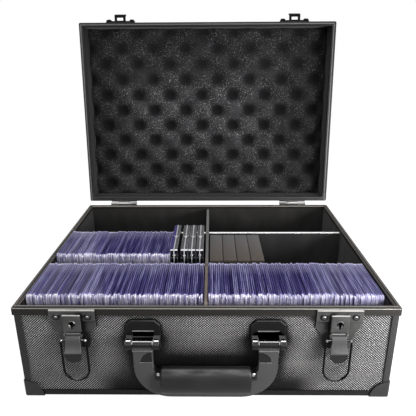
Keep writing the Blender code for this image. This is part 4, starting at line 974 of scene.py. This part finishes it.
# Contents
def add_holder(shape, layers, centre_x, front, back, foot, top, tone):
    """Adds one rigid holder: two sheets welded at their sides, with round corners and an open mouth."""
    tones, frosts, alongs = layers
    half = HOLDER_WALL / 2
    corner = HOLDER_CORNER
    outline = [(front, foot), (back, foot)]
    outline += corner_arc(back - corner, top - corner, corner, 0, 90, 3)
    outline += corner_arc(front + corner, top - corner, corner, 90, 180, 3)
    left = [shape.verts.new((centre_x - half, y, z)) for y, z in outline]
    right = [shape.verts.new((centre_x + half, y, z)) for y, z in outline]
    mouth = HOLDER_MOUTH / 2
    mouth_low = front + corner + HOLDER_WELD
    mouth_high = back - corner - HOLDER_WELD
    spots = ((-mouth, mouth_low), (mouth, mouth_low), (mouth, mouth_high), (-mouth, mouth_high))
    lip = [shape.verts.new((centre_x + x, y, top)) for x, y in spots]
    floor = [shape.verts.new((centre_x + x, y, top - HOLDER_MOUTH_DEPTH)) for x, y in spots]
    front_top = len(outline) // 2 + 1
    back_top = front_top - 1
    shoulders = [left[front_top], right[front_top], right[back_top], left[back_top]]
    strips = between(left, right)
    sheets = [tuple(reversed(left)), tuple(right), strips[0]]
    welds = strips[1:back_top] + strips[front_top:]
    inside = between(lip, floor) + [tuple(reversed(floor))]
    groups = ((sheets, 0.0, 0), (welds, 1.0, 0), (between(shoulders, lip), 0.0, 0), (inside, 0.0, 1))
    for group, frost, dark in groups:
        for corners in group:
            face = shape.faces.new(corners)
            face[tones] = tone
            face[frosts] = frost
            face.material_index = dark
    for vert in left + right + lip + floor:
        vert[alongs] = (vert.co.y - front) / (back - front)


def holder_row(label):
    """One row of card holders, each a little out of line with the next."""
    node = "toploader_row_" + label
    low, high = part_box(node)
    count = round((high.x - low.x) / HOLDER_PITCH)
    pitch = (high.x - low.x) / count
    shape = bmesh.new()
    layers = (shape.faces.layers.float.new("tone"), shape.faces.layers.float.new("frost"),
              shape.verts.layers.float.new("along"))
    for index in range(count):
        centre_x = low.x + pitch * (index + 0.5)
        slip = HOLDER_SLIP * chance.uniform(-1, 1)
        drop = HOLDER_UNEVEN * chance.random() ** UNEVEN_POWER
        drift = 0.5 + 0.5 * noise.noise(Vector((centre_x * 60, low.y * 9, 3)))
        tone = min(max(TONE_SCATTER * chance.random() + TONE_DRIFT * drift - TONE_CUT, 0), 1)
        front = low.y + HOLDER_SLIP + slip
        back = high.y - HOLDER_SLIP + slip
        add_holder(shape, layers, centre_x, front, back, low.z, high.z - drop, tone)
    bmesh.ops.recalc_face_normals(shape, faces=shape.faces)
    piece("holders_" + label, shape, [HOLDER, HOLDER_GAP], node, True)


def case_half(low, high, outer, sign):
    """Half of a magnetic case: a clear plate with a thumb notch and a recessed window."""
    corner = CASE_CORNER
    outline = [(low.y, low.z), (high.y, low.z), (high.y, high.z - corner), (high.y - corner, high.z)]
    for y, rise in corner_arc((low.y + high.y) / 2, 0, CASE_NOTCH, 0, 180, 6):
        outline.append((y, high.z - rise * CASE_NOTCH_SHARE))
    outline += [(low.y + corner, high.z), (low.y, high.z - corner)]
    shape = upright_plate(outline, (low.x + high.x) / 2 + sign * CASE_SPLIT / 2, outer)
    shape.faces.ensure_lookup_table()
    face = shape.faces[-1]
    bmesh.ops.inset_region(shape, faces=[face], thickness=CASE_EDGE * 2, depth=0)
    bmesh.ops.inset_region(shape, faces=[face], thickness=CASE_FRAME, depth=-CASE_RECESS)
    return shape


def magnetic_case(number):
    """Two clear halves on a pale seam, held by corner magnets, with a small clasp in front."""
    node = f"magnetic_case_{number}"
    skin = Vector((0, CASE_SKIN, CASE_SKIN))
    corner = CASE_CORNER
    low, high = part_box(node)
    for label, outer, sign in (("left", low.x, -1), ("right", high.x, 1)):
        shape = case_half(low + skin, high - skin, outer, sign)
        clear = VIOLET_ACRYLIC if (number, label) == (4, "left") else ACRYLIC
        rounded(piece(f"case_{number}_{label}", shape, clear, node, label == "left"), CASE_EDGE)
    middle = (low + high) / 2
    outline = [(low.y, low.z), (high.y, low.z)]
    outline += corner_arc(high.y - corner, high.z - corner, corner, 0, 90, 3)
    outline += corner_arc(low.y + corner, high.z - corner, corner, 90, 180, 3)
    seam = upright_plate(outline, middle.x - SEAM_HALF, middle.x + SEAM_HALF)
    piece(f"case_{number}_seam", seam, SEAM, node)
    for label, radius, foot, spot, axis in (
            ("clasp", CLASP_RADIUS, 0.8, (middle.x, low.y, high.z - CLASP_DROP), (0, -1, 0)),
            ("catch", CATCH_RADIUS, 1.0, (middle.x, middle.y, high.z), (0, 0, 1))):
        profile = [(radius * foot, -CASE_RECESS), (radius, -CASE_SKIN), (radius * 0.7, 0.0)]
        turned_piece(f"case_{number}_{label}", profile, spot, axis, WHITE_DOT, node)
    for side_y, y in (("front", low.y + MAGNET_INSET), ("back", high.y - MAGNET_INSET)):
        for side_z, z in (("low", low.z + MAGNET_INSET), ("high", high.z - MAGNET_INSET)):
            rod(f"case_{number}_magnet_{side_y}_{side_z}", MAGNET_RADIUS, MAGNET_HALF, MAGNET_RADIUS * 0.12,
                (middle.x, y, z), NICKEL, node)


def contents():
    """The rows of holders, the clear cases and the foam spacers."""
    for label in ("front_left", "front_right", "middle_left"):
        holder_row(label)
    for number in range(1, 5):
        magnetic_case(number)
        soft_block(f"spacer_{number}", f"foam_spacer_{number}", SPACER_FOAM, SPACER_ROUND)


# Fittings
def rivet(name, centre, node):
    """A tubular rivet head: a dark ring round a bright dome."""
    for label, material, outline in (
            ("", RIVET_BLACK, ((1, -0.4), (1, 0.35), (0.90, 0.70), (0.62, 0.70), (0.58, 0.20), (0.05, 0.15))),
            ("_dome", RIVET_DOME, ((0.54, 0.16), (0.52, 0.45), (0.36, 0.80), (0.04, 0.95)))):
        profile = [(RIVET_RADIUS * across, RIVET_RISE * rise) for across, rise in outline]
        turned_piece(name + label, profile, centre, (0, -1, 0), material, node)


def latches():
    """Plates, locks, levers, bails and keepers, with their rivets and key barrels."""
    for side in ("left", "right"):
        plate = "latch_plate_" + side
        dressed(plate, HARDWARE, HARDWARE_EDGE)
        dressed("lock_box_" + side, HARDWARE, LEAF_EDGE)
        dressed("latch_lever_" + side, LEVER, HARDWARE_EDGE)
        dressed("latch_bail_" + side, WIRE, smoothing=WIRE_SMOOTHING)
        dressed("latch_keeper_" + side, KEEPER_BLACK, HARDWARE_EDGE)
        keeper_band(side)
        low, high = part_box(plate)
        centre_x = (low.x + high.x) / 2
        face_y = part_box("base_rim")[0].y - LIP_PROUD
        for label, sign in SIDES:
            spot = (centre_x + sign * RIVET_X, face_y, high.z - RIVET_DROP)
            rivet(f"latch_rivet_{side}_{label}", spot, plate)
        # The lip's top edge: a rod whose metal has a painted highlight on top, as lit from above
        radius = LIP_BAND / 2
        rod(f"lip_bar_{side}", radius, (high.x - low.x) / 2, radius * 0.6,
            (centre_x, face_y + radius * 0.6, high.z - radius), LIP_HIGHLIGHT, plate)
        bail_beads(side, centre_x)
        lock_barrel(side)


def keeper_band(side):
    """The raised step of a keeper between its two wings, under the hook."""
    node = "latch_keeper_" + side
    low, high = closed_box(node)
    rim_y = closed_box("lid_rim")[0].y
    shape = block((high.x - low.x - 2 * KEEPER_END, KEEPER_BAND_RISE, KEEPER_BAND_HIGH - KEEPER_BAND_LOW))
    centre = Vector(((low.x + high.x) / 2, rim_y - KEEPER_BAND_RISE / 2,
                     low.z + (KEEPER_BAND_LOW + KEEPER_BAND_HIGH) / 2))
    shape.transform(lid_turn() @ Matrix.Translation(centre))
    rounded(piece(f"keeper_band_{side}", shape, KEEPER_BLACK, node), HARDWARE_EDGE)


def bail_beads(side, centre_x):
    """Small bright stop beads on the bail's wire beside the lever's ears."""
    node = "latch_bail_" + side
    low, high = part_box(node)
    axis_y, axis_z = JOINTS[node + "_swing"]["pos_m"][1:]
    for label, sign in SIDES:
        spot = (centre_x + sign * ((high.x - low.x) / 2 - BEAD_INSET), axis_y, axis_z)
        rod(f"bail_bead_{side}_{label}", BEAD_RADIUS, BEAD_RADIUS * 0.8, BEAD_RADIUS * 0.45, spot,
            STEEL, node)


def lock_barrel(side):
    """A key barrel: a rimmed disc with a keyhole that runs down from its middle."""
    node = "lock_barrel_" + side
    low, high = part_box(node)
    centre = Vector(((low.x + high.x) / 2, low.y, (low.z + high.z) / 2))
    radius = BARREL_RADIUS
    well = radius * 0.2
    set_back = 2 * KEY_SLOT_PROUD
    profile = [(radius, low.y - high.y), (radius, -radius * 0.08 - set_back), (radius * 0.93, -set_back),
               (radius * 0.80, -set_back), (radius * 0.72, -well), (radius * 0.02, -well)]
    turned_piece(f"key_barrel_{side}", profile, centre, (0, -1, 0), KEY_RING, node, True)
    # The keyhole and the slot below it are dark pieces, painted shade inside them
    half = KEYHOLE_RADIUS / 2
    outline = corner_arc(centre.x, centre.z + half, KEYHOLE_RADIUS, -60, 240, 12)
    outline += [(centre.x - half, centre.z - KEYHOLE_DROP), (centre.x + half, centre.z - KEYHOLE_DROP)]
    keyhole = flat_plate(outline, centre.y + KEY_SLOT_PROUD, centre.y + well * 1.2)
    piece(f"keyhole_{side}", keyhole, SHADOW_BLACK, node)
    face_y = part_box("lock_box_" + side)[0].y
    slot = flat_strip(centre.x, half, centre.z - KEY_SLOT_DROP, centre.z - radius,
                      face_y - KEY_SLOT_PROUD, face_y + KEY_SLOT_PROUD)
    rounded(piece(f"key_slot_{side}", slot, SHADOW_BLACK, "lock_box_" + side), KEY_SLOT_PROUD / 2)


def hinges():
    """Leaves and pins at the back."""
    for side in ("left", "right"):
        dressed("hinge_base_leaf_" + side, HARDWARE, LEAF_EDGE)
        dressed("hinge_lid_leaf_" + side, HARDWARE, LEAF_EDGE)
        dressed("hinge_pin_" + side, NICKEL, smoothing=PIN_SMOOTHING)


def handle():
    """Brackets with bright knuckles, the swinging frame and its soft grip."""
    axis_y, axis_z = JOINTS["handle_swing"]["pos_m"][1:]
    for side, way in SIDES:
        node = "handle_bracket_" + side
        dressed(node, DARK_HARDWARE, HARDWARE_EDGE)
        dressed("handle_pin_" + side, NICKEL, smoothing=PIN_SMOOTHING)
        low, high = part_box(node)
        centre_x = (low.x + high.x) / 2
        reach = (high.x - low.x) / 2
        for label, sign in SIDES:
            spot = (centre_x + sign * (reach - KNUCKLE_WIDTH / 2), axis_y, axis_z)
            rod(f"knuckle_{side}_{label}", KNUCKLE_RADIUS, KNUCKLE_WIDTH / 2, KNUCKLE_RADIUS * 0.2, spot,
                CHROME, node, KNUCKLE_SIDES)
        half = reach - KNUCKLE_WIDTH - EDGE_ROOM
        rod(f"handle_barrel_{side}", SLEEVE_RADIUS, half, SLEEVE_RADIUS * 0.1, (centre_x, axis_y, axis_z),
            BARREL, "handle_frame", KNUCKLE_SIDES)
        bracket_window(side, node, centre_x, axis_z, high.y)
        arm_pocket(side, way, centre_x, axis_y, axis_z)
        shoulder_stud(side, way, axis_y)
    dressed("handle_frame", HANDLE, HANDLE_EDGE, 3)
    grip()


def bracket_window(side, node, centre_x, axis_z, back_y):
    """The window in a bracket, a sheet painted black as its shade, with a pale rolled edge over it."""
    foot = axis_z + WINDOW_HIGH
    window = flat_strip(centre_x, WINDOW_HALF, axis_z + WINDOW_LOW, foot, back_y - WINDOW_DEPTH, back_y)
    rounded(piece(f"bracket_window_{side}", window, SHADOW_BLACK, node), EDGE_ROOM / 2)
    face_y = back_y - BRACKET_WALL
    bar = flat_strip(centre_x, WINDOW_HALF, foot, foot + WINDOW_BAR,
                     face_y - WINDOW_BAR_PROUD, face_y + WINDOW_BAR_PROUD)
    rounded(piece(f"window_bar_{side}", bar, STEEL, node), WINDOW_BAR_PROUD / 2)


def arm_pocket(side, way, centre_x, axis_y, axis_z):
    """An insert in an arm's quarter-round pocket, painted dark as the pocket's shade."""
    inner = centre_x - way * (ARM_WIDTH / 2 - EDGE_ROOM)
    foot = axis_z - KNUCKLE_DROP - POCKET_DROP - POCKET_RADIUS
    quarter = corner_arc(0, 0, POCKET_RADIUS - EDGE_ROOM, 0, 90, 8)
    outline = [(inner, foot)] + [(inner + way * x, foot + z) for x, z in quarter]
    front_y = axis_y - ARM_WALL / 2
    shape = flat_plate(outline, front_y + POCKET_DEPTH / 3, front_y + POCKET_DEPTH)
    rounded(piece(f"arm_pocket_{side}", shape, POCKET_SHADE, "handle_frame"), EDGE_ROOM / 2)


def shoulder_stud(side, way, axis_y):
    """The bright screw head on a shoulder, beside the grip's end."""
    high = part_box("handle_grip")[1]
    spot = (way * (high.x + STUD_OUT), axis_y - ARM_WALL / 2, high.z - STUD_DROP)
    profile = [(STUD_RADIUS, -STUD_RISE * 0.3), (STUD_RADIUS, STUD_RISE * 0.3),
               (STUD_RADIUS * 0.75, STUD_RISE * 0.75), (STUD_RADIUS * 0.05, STUD_RISE)]
    turned_piece(f"shoulder_stud_{side}", profile, spot, (0, -1, 0), NICKEL, "handle_frame")


def grip():
    """The oval sleeve, drawn in slightly at its ends, with a crease along its front."""
    low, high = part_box("handle_grip")
    middle = (low + high) / 2
    half = (high - low) / 2
    stations = [(0.0, 0.80), (0.12, 0.90), (0.35, 0.97), (1.0, 1.0)]
    places = [(low.x + GRIP_ROUND * share, scale) for share, scale in stations]
    places += [(high.x - GRIP_ROUND * share, scale) for share, scale in reversed(stations)]
    rings = []
    for x, scale in places:
        ring = []
        for index in range(GRIP_SIDES):
            angle = 2 * math.pi * index / GRIP_SIDES
            across = math.cos(angle)
            upward = math.sin(angle)
            crease = math.exp(-((upward - CREASE_RISE) / CREASE_WIDTH) ** 2) if across < 0 else 0
            across *= (1 - CREASE_DEPTH * crease) * (1 - (1 - scale) * DRAWN_IN_Y)
            upward *= 1 - (1 - scale) * DRAWN_IN_Z
            ring.append((x, middle.y + across * half.y, middle.z + upward * half.z))
        rings.append(ring)
    piece("soft_grip", loft(rings), GRIP, "handle_grip", True, CLOTH_SMOOTHING)


# Stage, light and camera
def floor():
    """A wide pale disc that the case stands on."""
    shape = bmesh.new()
    bmesh.ops.create_circle(shape, cap_ends=True, radius=FLOOR_RADIUS, segments=FLOOR_SIDES)
    bmesh.ops.translate(shape, vec=(0, 0, -FLOOR_DROP), verts=shape.verts)
    mesh = mesh_of("floor", shape)
    mesh.materials.append(floor_white())
    linked("floor", mesh)


def sky():
    """White to the eye and in reflections, and far dimmer as a light."""
    world = bpy.data.worlds.new("studio")
    bpy.context.scene.world = world
    world.use_nodes = True
    nodes = Nodes(world.node_tree)
    path = nodes.add("LightPath").outputs
    seen = nodes.larger(path["Is Camera Ray"], path["Is Transmission Ray"])
    shown = nodes.larger(seen, path["Is Glossy Ray"])
    strength = nodes.add("MapRange", {"Value": shown, "To Min": SKY_LIGHT, "To Max": 1.0}).outputs["Result"]
    background = nodes.tree.nodes["Background"].inputs
    nodes.feed(background["Color"], (1.0, 1.0, 1.0, 1.0))
    nodes.feed(background["Strength"], strength)


def softbox(name, place, target, size, power):
    """A square area light aimed at a point."""
    light = bpy.data.lights.new(name, "AREA")
    light.shape = "SQUARE"
    light.size = size
    light.energy = power
    made = linked(name, light)
    made.location = place
    made.rotation_mode = "QUATERNION"
    made.rotation_quaternion = (Vector(target) - Vector(place)).to_track_quat("-Z", "Y")


def camera():
    """The photograph's viewpoint, lens and framing."""
    data = bpy.data.cameras.new("photo_camera")
    data.sensor_width = SENSOR
    data.lens = SENSOR * FOCAL_PX / PHOTO_PX
    data.shift_x = (PHOTO_PX / 2 - CENTRE_PX.x) / PHOTO_PX
    data.shift_y = (CENTRE_PX.y - PHOTO_PX / 2) / PHOTO_PX
    data.clip_start = 0.01
    data.clip_end = 50.0
    made = linked("photo_camera", data)
    right = Vector((math.cos(CAMERA_YAW), math.sin(CAMERA_YAW), 0))
    ahead = Vector((-math.sin(CAMERA_YAW), math.cos(CAMERA_YAW), 0))
    forward = ahead * math.cos(CAMERA_PITCH) - Vector((0, 0, math.sin(CAMERA_PITCH)))
    upward = ahead * math.sin(CAMERA_PITCH) + Vector((0, 0, math.cos(CAMERA_PITCH)))
    across = right * math.cos(CAMERA_ROLL) + upward * math.sin(CAMERA_ROLL)
    above = upward * math.cos(CAMERA_ROLL) - right * math.sin(CAMERA_ROLL)
    turn = Matrix((across, above, -forward)).transposed()
    made.matrix_world = Matrix.Translation(CAMERA_PLACE) @ turn.to_4x4()
    bpy.context.scene.camera = made


dress_shell()
soft_block("floor_pad", "base_floor_pad", PAD_FOAM, PAD_ROUND)
lining()
egg_crate()
contents()
latches()
hinges()
handle()
floor()
sky()
for light in SOFTBOXES:
    softbox(*light)
camera()
bpy.context.scene.view_settings.view_transform = "Standard"
